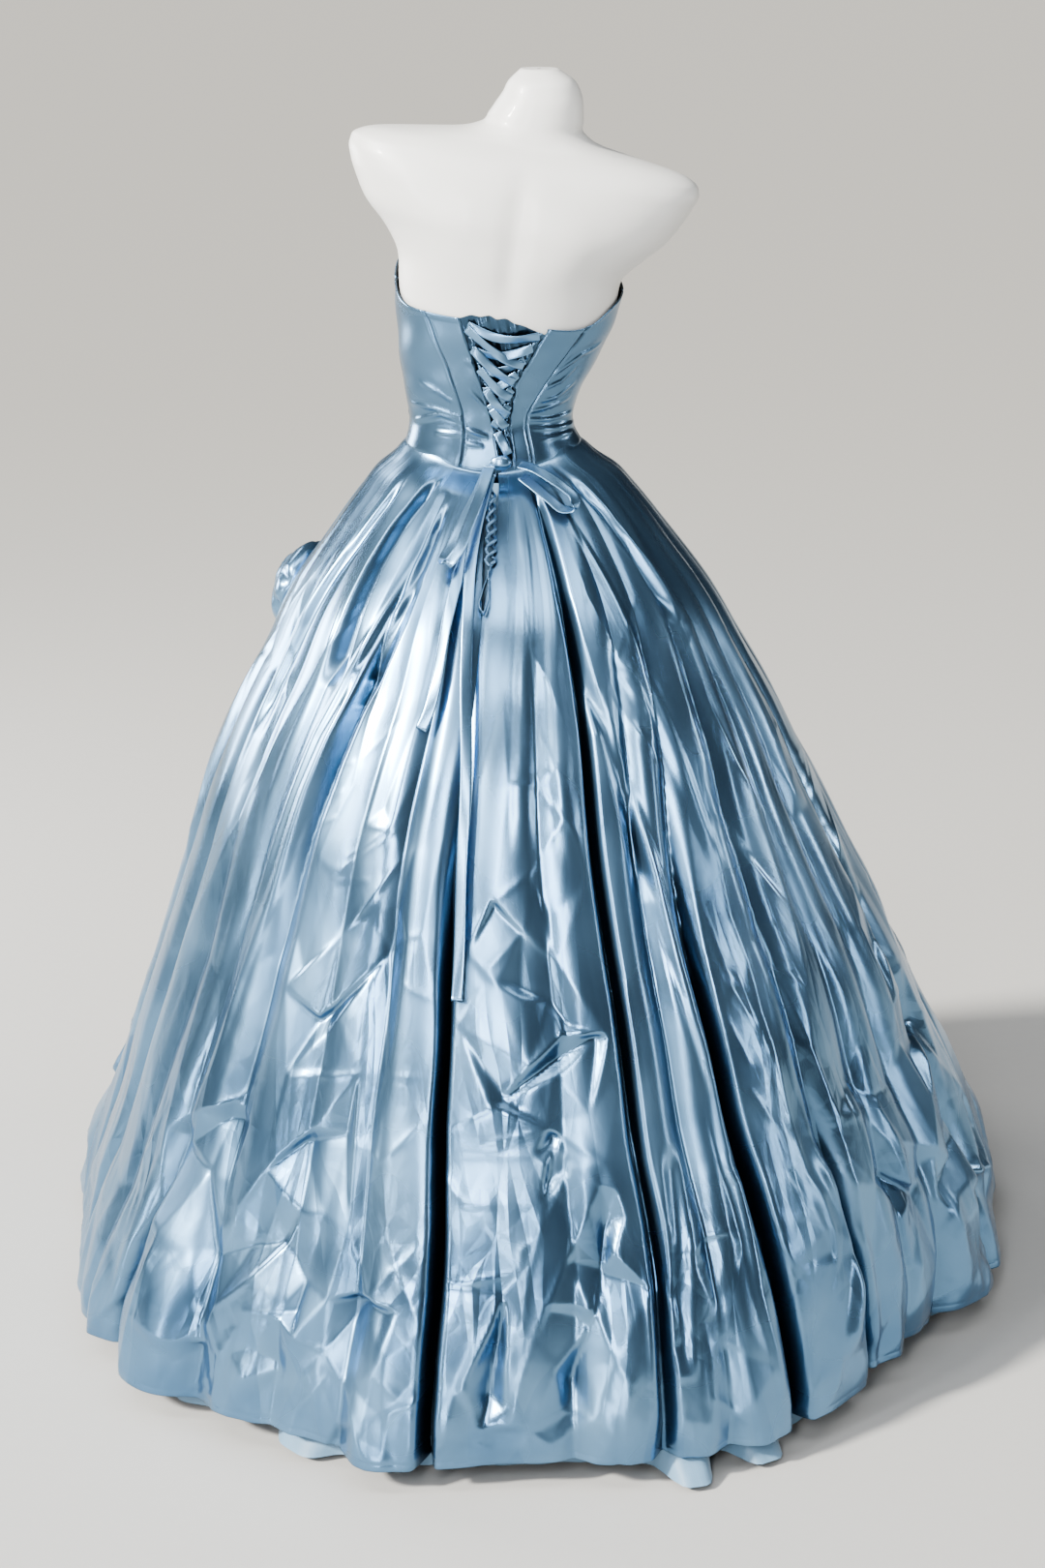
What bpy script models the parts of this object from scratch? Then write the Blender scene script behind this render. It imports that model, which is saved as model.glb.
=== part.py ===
"""Strapless ball gown of crisp satin, laced at the back, standing on a limbless dress form.

Metres, +Z up. The origin is on the floor, under the middle of the form's round base.
The gown's front faces -Y and its laced back +Y; the wearer's left is +X. An azimuth is
measured round the body in degrees: 0 is the centre back, 90 the wearer's left, 180 the front.
"""

import math

import bmesh
import bpy
import numpy as np
from mathutils import Matrix

# Driving sizes.
SEAM_GAP = 0.0004
WAIST_GAP = 0.0010
SATIN = 0.0016
RIBBON = 0.0012
FORM_TO_MODESTY = 0.0010
FORM_TO_BODICE = 0.0034
WAIST_Z = 1.094
WAIST_SIDE_RISE = 0.026
HEM_Z = 0.034
UNDER_HEM_Z = 0.008
LACE_WIDTH = 0.0108
RIBBON_WIDTH = 0.0140
BASE_RADIUS = 0.20
BASE_HEIGHT = 0.012
POLE_RADIUS = 0.016
SECTION_POWER = 2.3
FORM_SIDES = 26

# Body sections: each ring is tilted about Y, with its +X side up.
BODY = np.array((
    # height, centre_x, centre_y, half_width, back depth, front depth, tilt
    (0.805, 0.046, 0.000, 0.112, 0.078, 0.078, 0.0),
    (0.830, 0.046, 0.000, 0.148, 0.106, 0.097, 0.0),
    (0.900, 0.047, 0.000, 0.168, 0.122, 0.104, 0.0),
    (0.980, 0.050, 0.000, 0.157, 0.110, 0.102, 0.0),
    (1.050, 0.052, 0.000, 0.131, 0.088, 0.094, 0.0),
    (1.107, 0.054, 0.000, 0.109, 0.077, 0.086, 0.0),
    (1.150, 0.059, 0.000, 0.096, 0.070, 0.080, 0.5),
    (1.187, 0.057, 0.000, 0.105, 0.074, 0.086, 2.0),
    (1.245, 0.046, 0.000, 0.122, 0.084, 0.104, 4.0),
    (1.302, 0.037, 0.000, 0.134, 0.092, 0.112, 6.0),
    (1.340, 0.034, -0.002, 0.141, 0.100, 0.106, 8.0),
    (1.363, 0.030, -0.003, 0.160, 0.102, 0.103, 8.8),
    (1.387, 0.027, -0.004, 0.184, 0.103, 0.100, 8.8),
    (1.412, 0.023, -0.006, 0.200, 0.100, 0.095, 8.8),
    (1.432, 0.020, -0.007, 0.2095, 0.094, 0.088, 8.8),
    (1.452, 0.016, -0.008, 0.2145, 0.084, 0.078, 8.8),
    (1.464, 0.015, -0.009, 0.207, 0.076, 0.070, 8.8),
    (1.472, 0.013, -0.009, 0.185, 0.068, 0.064, 8.8),
    (1.479, 0.012, -0.010, 0.140, 0.062, 0.060, 8.6),
    (1.487, 0.010, -0.010, 0.090, 0.058, 0.057, 8.0),
    (1.496, 0.007, -0.011, 0.066, 0.056, 0.056, 7.0),
    (1.512, 0.002, -0.012, 0.0575, 0.054, 0.054, 5.0),
    (1.526, -0.002, -0.012, 0.053, 0.051, 0.051, 3.0),
    (1.539, -0.005, -0.013, 0.0475, 0.047, 0.047, 2.0),
    (1.553, -0.004, -0.013, 0.040, 0.040, 0.040, 0.0),
    (1.567, -0.001, -0.013, 0.0225, 0.0225, 0.0225, 0.0),
))
BUST_RISE = 0.013
BUST_Z = 1.290
BUST_AZIMUTH = 150.0

# Bodice edges and seams: azimuth at each height, bottom to top.
SEAMS = {
    "edge_left": (
        (1.09, -6.0), (1.142, -5.0), (1.172, 1.0), (1.196, 8.0), (1.222, 17.0), (1.252, 26.0), (1.30, 38.0),
    ),
    "princess_left": (
        (1.09, 29.0), (1.142, 23.0), (1.166, 25.0), (1.194, 31.0), (1.234, 43.0), (1.30, 60.0),
    ),
    "side_left": ((1.09, 88.0), (1.37, 92.0)),
    "front_left": ((1.09, 159.0), (1.16, 157.0), (1.29, 146.0), (1.37, 143.0)),
    "front_right": ((1.09, 201.0), (1.16, 203.0), (1.29, 214.0), (1.37, 217.0)),
    "side_right": ((1.09, 272.0), (1.37, 268.0)),
    "princess_right": ((1.09, 329.0), (1.164, 326.0), (1.21, 316.0), (1.25, 310.0), (1.30, 298.0)),
    "edge_right": (
        (1.09, 345.0), (1.16, 341.0), (1.186, 340.0), (1.204, 340.0), (1.226, 336.0), (1.252, 332.0), (1.30, 322.0),
    ),
}
# Top edge of the bodice: ring height at each azimuth.
TOP_EDGE = (
    (0.0, 1.278), (50.0, 1.278), (72.0, 1.284), (90.0, 1.302), (115.0, 1.332), (146.0, 1.352),
    (166.0, 1.342), (180.0, 1.326), (194.0, 1.342), (214.0, 1.352), (245.0, 1.334), (270.0, 1.318),
    (286.0, 1.304), (300.0, 1.280), (330.0, 1.272), (360.0, 1.278),
)
BODICE_PANELS = (
    # name, seam on its lower azimuth side, seam on its higher azimuth side, columns
    ("bodice_centre_back_left", "edge_left", "princess_left", 5),
    ("bodice_side_back_left", "princess_left", "side_left", 7),
    ("bodice_side_front_left", "side_left", "front_left", 8),
    ("bodice_centre_front", "front_left", "front_right", 9),
    ("bodice_side_front_right", "front_right", "side_right", 8),
    ("bodice_side_back_right", "side_right", "princess_right", 7),
    ("bodice_centre_back_right", "princess_right", "edge_right", 4),
)
BODICE_ROWS = 11

# Lacing: each strand runs from the left edge to the right edge, as (azimuth, height) pairs.
LACE_OVER = (
    # left azimuth, left height, right azimuth, right height
    (27.0, 1.268, -21.0, 1.228),
    (21.0, 1.245, -17.0, 1.207),
    (13.5, 1.221, -17.0, 1.186),
    (5.0, 1.196, -16.5, 1.164),
    (-2.0, 1.171, -15.0, 1.147),
    (-7.0, 1.140, -13.0, 1.114),
)
LACE_UNDER = (
    (27.0, 1.271, -27.0, 1.265),
    (21.0, 1.243, -24.0, 1.250),
    (14.0, 1.217, -21.0, 1.234),
    (7.0, 1.193, -18.0, 1.216),
    (0.5, 1.170, -17.0, 1.196),
    (-4.0, 1.148, -16.0, 1.176),
)
UNDER_LIFT = 0.0074
OVER_LIFT = 0.0108
LACE_STAGGER = 0.0016
LOOPS_LIFT = 0.0042
LOOPS_RADIUS = 0.0013
LOOPS_COUNT = 7
LOOPS_TOP = 1.268
LOOPS_FOOT = 1.135
LOOPS_FROM_EDGE = 2.6
LOOPS_SWING = 1.5

# Modesty panel behind the lacing.
MODESTY_FOOT = 1.098
MODESTY_TOP = 1.284
MODESTY_MIDDLE = -4.0
MODESTY_HALF_TOP = 44.0
MODESTY_HALF_FOOT = 23.0

# Skirt: outer radius and sideways drift at each height.
SKIRT = np.array((
    # height, radius, centre_x
    (0.000, 0.628, 0.001),
    (0.034, 0.625, 0.001),
    (0.080, 0.618, 0.001),
    (0.131, 0.606, 0.001),
    (0.272, 0.553, 0.001),
    (0.384, 0.508, 0.010),
    (0.492, 0.467, 0.015),
    (0.599, 0.422, 0.026),
    (0.705, 0.378, 0.036),
    (0.808, 0.330, 0.039),
    (0.860, 0.301, 0.040),
    (0.936, 0.261, 0.044),
    (1.010, 0.208, 0.047),
    (1.035, 0.189, 0.048),
    (1.060, 0.168, 0.049),
    (1.084, 0.146, 0.051),
    (1.100, 0.124, 0.053),
    (1.125, 0.110, 0.055),
))
# How the hem leaves a level circle, round the body.
HEM = np.array((
    # azimuth, swing outwards, rise of the edge
    (-10.0, 0.004, 0.002),
    (4.0, -0.010, 0.002),
    (14.0, 0.018, -0.002),
    (29.0, 0.000, 0.004),
    (41.0, 0.004, 0.000),
    (46.0, 0.030, 0.000),
    (52.0, 0.026, 0.002),
    (57.0, 0.004, 0.004),
    (63.0, 0.006, 0.000),
    (76.0, -0.010, 0.004),
    (88.0, -0.024, 0.004),
    (97.0, 0.006, 0.000),
    (105.0, 0.030, -0.002),
    (120.0, 0.006, 0.004),
    (135.0, 0.000, 0.004),
    (158.0, 0.012, -0.004),
    (182.0, -0.004, 0.004),
    (204.0, 0.012, -0.004),
    (228.0, 0.002, 0.004),
    (245.0, 0.010, 0.002),
    (255.0, 0.032, -0.002),
    (262.0, 0.010, 0.002),
    (268.0, -0.014, 0.004),
    (278.0, -0.008, 0.000),
    (286.0, -0.012, 0.002),
    (299.0, -0.044, 0.006),
    (312.0, -0.042, 0.006),
    (320.0, -0.032, 0.000),
    (331.0, -0.003, 0.000),
    (350.0, 0.004, 0.002),
    (364.0, -0.010, 0.002),
))
# Valleys between the skirt's folds, round the body: where each lies at the waist and the hem,
# how deep it is high up, at knee height and at the hem, and half its width at the hem.
FOLDS = np.array((
    # waist azimuth, middle azimuth, hem azimuth, depth high up, depth at the knee, hem depth, half width
    (2.5, 10.8, 12.0, 0.006, 0.030, 0.030, 0.024),
    (11.0, 20.0, 22.0, 0.012, 0.010, 0.014, 0.040),
    (19.0, 29.0, 31.0, 0.006, 0.008, 0.008, 0.036),
    (27.0, 41.0, 42.0, 0.022, 0.014, 0.010, 0.046),
    (41.0, 50.0, 56.5, 0.010, 0.012, 0.028, 0.034),
    (53.0, 59.0, 65.0, 0.007, 0.010, 0.010, 0.034),
    (65.0, 70.0, 76.0, 0.009, 0.016, 0.022, 0.036),
    (78.0, 82.0, 88.5, 0.008, 0.012, 0.032, 0.036),
    (91.0, 93.0, 97.0, 0.010, 0.018, 0.010, 0.036),
    (104.0, 107.0, 112.5, 0.009, 0.014, 0.026, 0.040),
    (114.0, 118.0, 121.0, 0.010, 0.022, 0.026, 0.040),
    (127.0, 128.0, 129.0, 0.008, 0.012, 0.018, 0.038),
    (137.0, 139.0, 139.0, 0.012, 0.020, 0.026, 0.046),
    (150.0, 150.0, 149.0, 0.009, 0.016, 0.030, 0.040),
    (161.0, 161.0, 162.0, 0.012, 0.026, 0.022, 0.042),
    (173.0, 173.0, 172.0, 0.008, 0.012, 0.020, 0.040),
    (184.0, 185.0, 186.0, 0.010, 0.022, 0.032, 0.044),
    (196.0, 196.0, 197.0, 0.009, 0.014, 0.018, 0.038),
    (207.0, 208.0, 208.0, 0.012, 0.024, 0.030, 0.044),
    (219.0, 220.0, 220.0, 0.008, 0.012, 0.020, 0.040),
    (232.0, 231.0, 230.0, 0.011, 0.020, 0.028, 0.042),
    (243.0, 241.0, 239.0, 0.008, 0.014, 0.018, 0.038),
    (255.0, 252.0, 248.0, 0.010, 0.020, 0.026, 0.038),
    (269.0, 269.0, 267.0, 0.010, 0.016, 0.032, 0.038),
    (280.0, 284.0, 283.0, 0.008, 0.014, 0.020, 0.036),
    (289.0, 296.0, 297.0, 0.008, 0.012, 0.014, 0.036),
    (298.0, 306.0, 306.5, 0.008, 0.010, 0.012, 0.034),
    (306.0, 317.0, 315.5, 0.012, 0.014, 0.036, 0.036),
    (316.0, 331.0, 329.0, 0.010, 0.030, 0.034, 0.034),
    (326.0, 338.0, 338.5, 0.014, 0.014, 0.012, 0.034),
    (339.5, 345.0, 346.0, 0.024, 0.028, 0.020, 0.026),
    (352.0, 355.0, 356.0, 0.008, 0.008, 0.012, 0.046),
))
SKIRT_ROWS = (0.0, 0.02, 0.05, 0.10, 0.17, 0.26, 0.36, 0.47, 0.59, 0.71, 0.83, 0.92, 1.0)
VALLEY_SIDE = 0.7
SKIRT_PANELS = (
    # name, index of the valley it starts in, index of the valley it ends in
    ("skirt_back_left", 0, 8),
    ("skirt_front", 8, 23),
    ("skirt_back_right", 23, 32),
)
# The open slit under the lacing: half its width at each height.
SLIT = ((0.950, 0.0), (0.975, 0.0025), (1.0, 0.0052), (1.030, 0.0068), (1.060, 0.0076), (1.10, 0.0090))

# Flutes of the underskirt that swing out below the outer hem.
FLUTES = np.array((
    # azimuth, half width in degrees, reach
    (-16.8, 2.0, 0.060),
    (-26.0, 2.2, 0.058),
    (28.0, 3.0, 0.040),
))
UNDER_STEP = 10.0
UNDER_TOP_DROP = 0.012
UNDER_WAVE = 0.006
UNDER_WAVES = 19
UNDER_GORES = (
    # name, azimuth of its first seam, azimuth of its second seam
    ("underskirt_back_left", 6.0, 66.0),
    ("underskirt_left", 66.0, 126.0),
    ("underskirt_front_left", 126.0, 186.0),
    ("underskirt_front_right", 186.0, 246.0),
    ("underskirt_right", 246.0, 306.0),
    ("underskirt_back_right", 306.0, 366.0),
)
UNDER_SEAM_HALF_GAP = 0.05
FLUTE_START = 0.95
# Gap between the underskirt and the skirt's ridges on the way down.
UNDER_INSET = (
    # drop, inset
    (0.0, 0.010), (0.05, 0.017), (0.12, 0.028), (0.25, 0.037), (0.6, 0.048), (1.0, 0.050),
)
UNDER_ROWS = (0.0, 0.05, 0.18, 0.38, 0.62, 0.86, 0.955, 0.98, 1.0)

# Bow and ribbon ends: azimuth, height and lift off the skirt of each point along them.
BOW_AZIMUTH = -4.0
BOW_Z = 1.089
TAIL_LONG = (
    (3.5, 1.083, 0.019), (6.5, 1.064, 0.016), (8.5, 1.032, 0.013), (9.0, 0.998, 0.011),
    (8.5, 0.948, 0.009), (8.5, 0.888, 0.009), (7.5, 0.786, 0.009), (8.0, 0.682, 0.009),
    (9.0, 0.578, 0.009), (9.5, 0.542, 0.009),
)
TAIL_SHORT = (
    (4.5, 1.083, 0.012), (8.5, 1.062, 0.008), (11.5, 1.015, 0.006), (13.5, 0.962, 0.007),
    (14.5, 0.918, 0.008), (15.5, 0.876, 0.008), (16.5, 0.844, 0.008), (17.5, 0.828, 0.008),
)
LOOP_LEFT = (
    (4.5, 1.086, 0.027), (9.5, 1.062, 0.026), (12.5, 1.034, 0.025), (14.5, 1.012, 0.024),
    (15.3, 1.000, 0.027), (13.5, 0.994, 0.033), (10.5, 1.002, 0.038), (9.0, 1.026, 0.038),
    (6.5, 1.058, 0.037), (3.5, 1.082, 0.035),
)
LOOP_RIGHT = (
    (-16.5, 1.084, 0.012), (-20.0, 1.077, 0.012), (-25.0, 1.063, 0.013), (-29.0, 1.051, 0.014),
    (-32.0, 1.050, 0.018), (-34.0, 1.058, 0.022), (-32.0, 1.068, 0.024), (-29.0, 1.076, 0.024),
    (-22.0, 1.087, 0.023), (-17.5, 1.090, 0.021),
)
KNOT_HALF = (0.0135, 0.008, 0.0095)
KNOT_LIFT = 0.024

# Row of loops down the slit, and the ribbon end that hangs under it.
SLIT_LOOPS = 7
SLIT_LOOPS_TOP = 1.075
SLIT_LOOPS_FOOT = 1.004
SLIT_LOOPS_AZIMUTH = 2.9
SLIT_LOOPS_SWING = 1.2
SLIT_LOOPS_LIFT = 0.0034
SLIT_END = ((3.6, 0.998, 0.0030), (4.6, 0.985, 0.0040), (5.0, 0.970, 0.0045), (5.4, 0.957, 0.0050))

# Rosette of rolled satin on the wearer's left hip.
ROSETTE_AZIMUTH = 117.0
ROSETTE_Z = 0.897
ROSETTE_LIFT = 0.003
ROSETTE_TURNS = 3.2
ROSETTE_STEPS_A_TURN = 13
ROSETTE_CORE = 0.007
ROSETTE_RIM = 0.050
ROSETTE_DEPTH_CORE = 0.050
ROSETTE_DEPTH_RIM = 0.030
ROSETTE_RIPPLE = 0.004
ROSETTE_SEAT = 0.34
ROSETTE_LINES = (
    # share of the strip's height, swing outwards
    (0.0, 0.0), (0.35, 0.008), (0.72, 0.012), (0.95, 0.009), (1.0, 0.004),
)

SATIN_COLOUR = (0.27, 0.44, 0.60, 1.0)
LINING_COLOUR = (0.50, 0.66, 0.76, 1.0)
FORM_COLOUR = (0.86, 0.86, 0.84, 1.0)


def smooth_lookup(positions, values, at):
    """A smooth curve through a table's rows, read at one or many positions."""
    xs, ys, at = np.asarray(positions, float), np.asarray(values, float), np.asarray(at, float)
    slopes = np.gradient(ys, xs)
    at = np.clip(at, xs[0], xs[-1])
    i = np.clip(np.searchsorted(xs, at) - 1, 0, len(xs) - 2)
    step = xs[i + 1] - xs[i]
    t = (at - xs[i]) / step
    rise = ys[i + 1] - ys[i]
    ease = t * t * (3 - 2 * t)
    return ys[i] + rise * ease + step * t * (1 - t) * (slopes[i] * (1 - t) - slopes[i + 1] * t)


def body_row(height):
    """Centre, half width, back and front depth and tilt of the body at a ring height."""
    return [smooth_lookup(BODY[:, 0], BODY[:, k], height) for k in range(1, BODY.shape[1])]


def bust(azimuth, height):
    """How far the bust stands out of the plain section."""
    across = (np.abs((azimuth + 180) % 360 - 180) - BUST_AZIMUTH) / 21
    up = (height - BUST_Z) / 0.036
    return BUST_RISE * np.exp(-across ** 2 - up ** 2)


def body_point(azimuth, height, lift=0.0):
    """A point on the body's surface, or lifted off it."""
    azimuth, height = np.asarray(azimuth, float), np.asarray(height, float)
    centre_x, centre_y, half_width, back, front, tilt = body_row(height)
    side, rear = np.sin(np.radians(azimuth)), np.cos(np.radians(azimuth))
    depth = np.where(rear > 0, back, front)
    radius = (np.abs(side / half_width) ** SECTION_POWER
              + np.abs(rear / depth) ** SECTION_POWER) ** (-1 / SECTION_POWER)
    radius = radius + lift + bust(azimuth, height)
    lean = np.radians(tilt)
    return np.stack([
        centre_x + radius * side * np.cos(lean),
        centre_y + radius * rear,
        height + radius * side * np.sin(lean),
    ], -1)


def body_normal(azimuth, height):
    """Outward direction of the body's surface."""
    around = body_point(azimuth + 0.5, height) - body_point(azimuth - 0.5, height)
    up = body_point(azimuth, height + 0.002) - body_point(azimuth, height - 0.002)
    return unit_rows(np.cross(up, around))


def seam_azimuth(name, height):
    table = np.array(SEAMS[name])
    return np.interp(height, table[:, 0], table[:, 1])


def top_edge(azimuth):
    table = np.array(TOP_EDGE)
    return smooth_lookup(table[:, 0], table[:, 1], np.asarray(azimuth, float) % 360)


def waist_edge(azimuth):
    return WAIST_Z + WAIST_SIDE_RISE * np.sin(np.radians(azimuth)) ** 2


def skirt_row(height):
    return [smooth_lookup(SKIRT[:, 0], SKIRT[:, k], height) for k in (1, 2)]


def waist_radius(azimuth):
    """Radius of the waist seam's section, from the axis of the skirt."""
    side, rear = np.sin(np.radians(azimuth)), np.cos(np.radians(azimuth))
    _, _, half_width, back, front, _ = body_row(WAIST_Z)
    depth = np.where(rear > 0, back, front) + FORM_TO_BODICE + SATIN
    return (np.abs(side / (half_width + FORM_TO_BODICE + SATIN)) ** SECTION_POWER
            + np.abs(rear / depth) ** SECTION_POWER) ** (-1 / SECTION_POWER)


def skirt_radius(azimuth, height):
    """Outer radius of the skirt: the waist's oval near the seam, round lower down."""
    radius, _ = skirt_row(height)
    drop = np.clip((waist_edge(azimuth) - height) / 0.16, 0, 1)
    at_seam, _ = skirt_row(waist_edge(azimuth))
    return radius + (waist_radius(azimuth) - at_seam) * (1 - drop) ** 2


def fold_azimuth(fold, drop):
    """Where a valley lies at a drop from 0, the waist, to 1, the hem."""
    turn = 360.0 * (fold // len(FOLDS))
    return smooth_lookup((0.0, 0.45, 1.0), FOLDS[fold % len(FOLDS), :3], drop) + turn


def fold_depth(fold, drop):
    high, knee, hem = FOLDS[fold % len(FOLDS), 3:6]
    return np.interp(drop, (0.0, 0.06, 0.25, 0.62, 1.0), (0.0025, 0.5 * high, high, knee, hem))


def fold_half_angle(fold, drop, radius):
    """Half a valley's width in degrees: its own width at the hem, less where folds crowd together."""
    half_width = FOLDS[fold % len(FOLDS), 6] * (0.45 + 0.55 * drop)
    before = fold_azimuth(fold, drop) - fold_azimuth(fold - 1, drop)
    after = fold_azimuth(fold + 1, drop) - fold_azimuth(fold, drop)
    return np.minimum(np.degrees(half_width / radius), 0.46 * np.minimum(before, after))


def hem_swing(azimuth, drop):
    """How far the skirt swings in or out of the round, growing towards the hem."""
    around = (np.asarray(azimuth, float) + 10) % 360 - 10
    return smooth_lookup(HEM[:, 0], HEM[:, 1], around) * np.clip((drop - 0.55) / 0.45, 0, 1) ** 1.5


def skirt_height(azimuth, drop):
    around = (np.asarray(azimuth, float) + 10) % 360 - 10
    top = waist_edge(azimuth) - WAIST_GAP
    hem = HEM_Z + smooth_lookup(HEM[:, 0], HEM[:, 2], around)
    return top + (hem - top) * drop


def skirt_point(azimuth, drop, inset=0.0):
    """A point on the skirt: drop runs from 0 at the waist seam to 1 at the hem."""
    height = skirt_height(azimuth, drop)
    radius = skirt_radius(azimuth, height) + hem_swing(azimuth, drop) - inset
    _, centre_x = skirt_row(height)
    turn = np.radians(azimuth)
    return np.stack([centre_x + radius * np.sin(turn), radius * np.cos(turn), height], -1)


def skirt_frame(azimuth, height, lift=0.0):
    """A point lifted off the skirt's ridges, and the outward direction there."""
    def at(az, z):
        radius, (_, centre_x) = skirt_radius(az, z), skirt_row(z)
        turn = math.radians(az)
        return np.array([float(centre_x + radius * math.sin(turn)), float(radius * math.cos(turn)), z])

    here = at(azimuth, height)
    across = at(azimuth + 1, height) - at(azimuth - 1, height)
    down = at(azimuth, height - 0.01) - at(azimuth, height + 0.01)
    normal = np.cross(down, across)
    normal /= np.linalg.norm(normal)
    if normal @ np.array([math.sin(math.radians(azimuth)), math.cos(math.radians(azimuth)), 0]) < 0:
        normal = -normal
    return here + normal * lift, normal


def unit(vector):
    return vector / np.linalg.norm(vector)


def unit_rows(vectors):
    return vectors / np.linalg.norm(vectors, axis=-1, keepdims=True)


def make_material(name, colour, roughness, metallic):
    material = bpy.data.materials.new(name)
    material.use_nodes = True
    shader = material.node_tree.nodes["Principled BSDF"]
    shader.inputs["Base Color"].default_value = colour
    shader.inputs["Roughness"].default_value = roughness
    shader.inputs["Metallic"].default_value = metallic
    return material


def add_object(name, mesh, material):
    """Links a mesh as one named part, smooth but for its sharp edges."""
    mesh.shade_smooth()
    mesh.set_sharp_from_angle(angle=math.radians(50))
    part = bpy.data.objects.new(name, mesh)
    part.data.materials.append(material.copy())
    part.data.materials[0].name = name
    bpy.data.collections["ball_gown"].objects.link(part)
    return part


def solidify(part, thickness, offset):
    """Gives an open sheet its wall: offset -1 puts it inside the sheet, 0 half on each side."""
    wall = part.modifiers.new("wall", "SOLIDIFY")
    wall.thickness = thickness
    wall.offset = offset
    wall.use_rim = True
    return part


def grid_mesh(name, points, outward=None):
    """A mesh over a grid of points, its faces turned towards the given direction."""
    rows, columns = points.shape[:2]
    faces = [
        (i * columns + j, (i + 1) * columns + j, (i + 1) * columns + j + 1, i * columns + j + 1)
        for i in range(rows - 1) for j in range(columns - 1)
    ]
    mesh = bpy.data.meshes.new(name)
    mesh.from_pydata(points.reshape(-1, 3).tolist(), [], faces)
    mesh.update()
    if outward is not None:
        middle = mesh.polygons[(rows - 1) // 2 * (columns - 1) + (columns - 1) // 2].normal
        if np.dot(middle, outward) < 0:
            mesh.flip_normals()
    return mesh


def sheet(name, points, material, thickness=SATIN):
    """A cloth wall inside a grid of points; rows run down, columns run with the azimuth."""
    outward = points[points.shape[0] // 2, points.shape[1] // 2] * np.array([1, 1, 0])
    return solidify(add_object(name, grid_mesh(name, points, outward), material), thickness, -1.0)


def closed_loft(name, rings, material):
    """A closed body through stacked rings, bottom to top, with flat ends."""
    count, around = rings.shape[:2]
    faces = []
    for i in range(count - 1):
        for j in range(around):
            k = (j + 1) % around
            faces.append((i * around + j, i * around + k, (i + 1) * around + k, (i + 1) * around + j))
    faces.append(tuple(reversed(range(around))))
    faces.append(tuple((count - 1) * around + j for j in range(around)))
    mesh = bpy.data.meshes.new(name)
    mesh.from_pydata(rings.reshape(-1, 3).tolist(), [], faces)
    cage = bmesh.new()
    cage.from_mesh(mesh)
    bmesh.ops.recalc_face_normals(cage, faces=cage.faces[:])
    cage.to_mesh(mesh)
    cage.free()
    return add_object(name, mesh, material)


def curve_through(points, count):
    """Evenly numbered points on a smooth curve through the given ones."""
    points = np.asarray(points, float)
    steps = np.r_[0, np.cumsum(np.linalg.norm(np.diff(points, axis=0), axis=1))]
    at = np.linspace(0, steps[-1], count)
    return np.stack([smooth_lookup(steps, points[:, k], at) for k in range(3)], -1)


def ribbon(name, path, across, width, material, thickness=RIBBON):
    """A flat ribbon along a path, lying across the given directions."""
    columns = np.array([-0.5, 0.0, 0.5]) * width
    grid = path[:, None, :] + columns[None, :, None] * across[:, None, :]
    return solidify(add_object(name, grid_mesh(name, grid), material), thickness, 0.0)


def tube(name, points, radius, material):
    """A round cord along a path."""
    data = bpy.data.curves.new(name, "CURVE")
    data.dimensions = "3D"
    data.bevel_depth = radius
    data.bevel_resolution = 1
    data.use_fill_caps = True
    spline = data.splines.new("POLY")
    spline.points.add(len(points) - 1)
    for target, point in zip(spline.points, points):
        target.co = (*point, 1.0)
    part = bpy.data.objects.new(name, data)
    data.materials.append(material.copy())
    data.materials[0].name = name
    bpy.data.collections["ball_gown"].objects.link(part)
    return part


def build_form(material):
    """Torso, pole and base of the dress form."""
    around = np.radians(np.arange(0, 360, 360 / FORM_SIDES))
    heights = np.r_[BODY[:5, 0], np.linspace(1.09, 1.335, 13), BODY[10:, 0]]
    rings = []
    for height in heights:
        _, _, half_width, back, front, _ = body_row(height)
        depth = np.where(np.cos(around) > 0, back, front)
        azimuth = np.degrees(np.arctan2(half_width * np.sin(around), depth * np.cos(around)))
        rings.append(body_point(azimuth, np.full(len(azimuth), height)))
    closed_loft("form_torso", np.array(rings), material)
    bpy.ops.mesh.primitive_cylinder_add(vertices=20, radius=POLE_RADIUS, depth=1.0)
    pole = bpy.context.object
    foot, head = BASE_HEIGHT + SEAM_GAP, BODY[0, 0] - SEAM_GAP
    finish_primitive(pole, "form_pole", (0.0, 0.0, (foot + head) / 2), (1, 1, head - foot), material)
    bpy.ops.mesh.primitive_cylinder_add(vertices=36, radius=BASE_RADIUS, depth=BASE_HEIGHT)
    base = bpy.context.object
    finish_primitive(base, "form_base", (0.0, 0.0, BASE_HEIGHT / 2), (1, 1, 1), material)
    edge = base.modifiers.new("edge", "BEVEL")
    edge.width = 0.002
    edge.segments = 1
    edge.limit_method = "ANGLE"


def finish_primitive(part, name, place, scale, material):
    """Names, places and colours a primitive, with its scale applied to the mesh."""
    part.name = name
    part.data.name = name
    part.data.transform(Matrix.Diagonal((*scale, 1.0)))
    part.location = place
    part.data.materials.append(material.copy())
    part.data.materials[0].name = name
    part.data.shade_smooth()
    part.data.set_sharp_from_angle(angle=math.radians(50))
    for collection in part.users_collection:
        collection.objects.unlink(part)
    bpy.data.collections["ball_gown"].objects.link(part)


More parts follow.
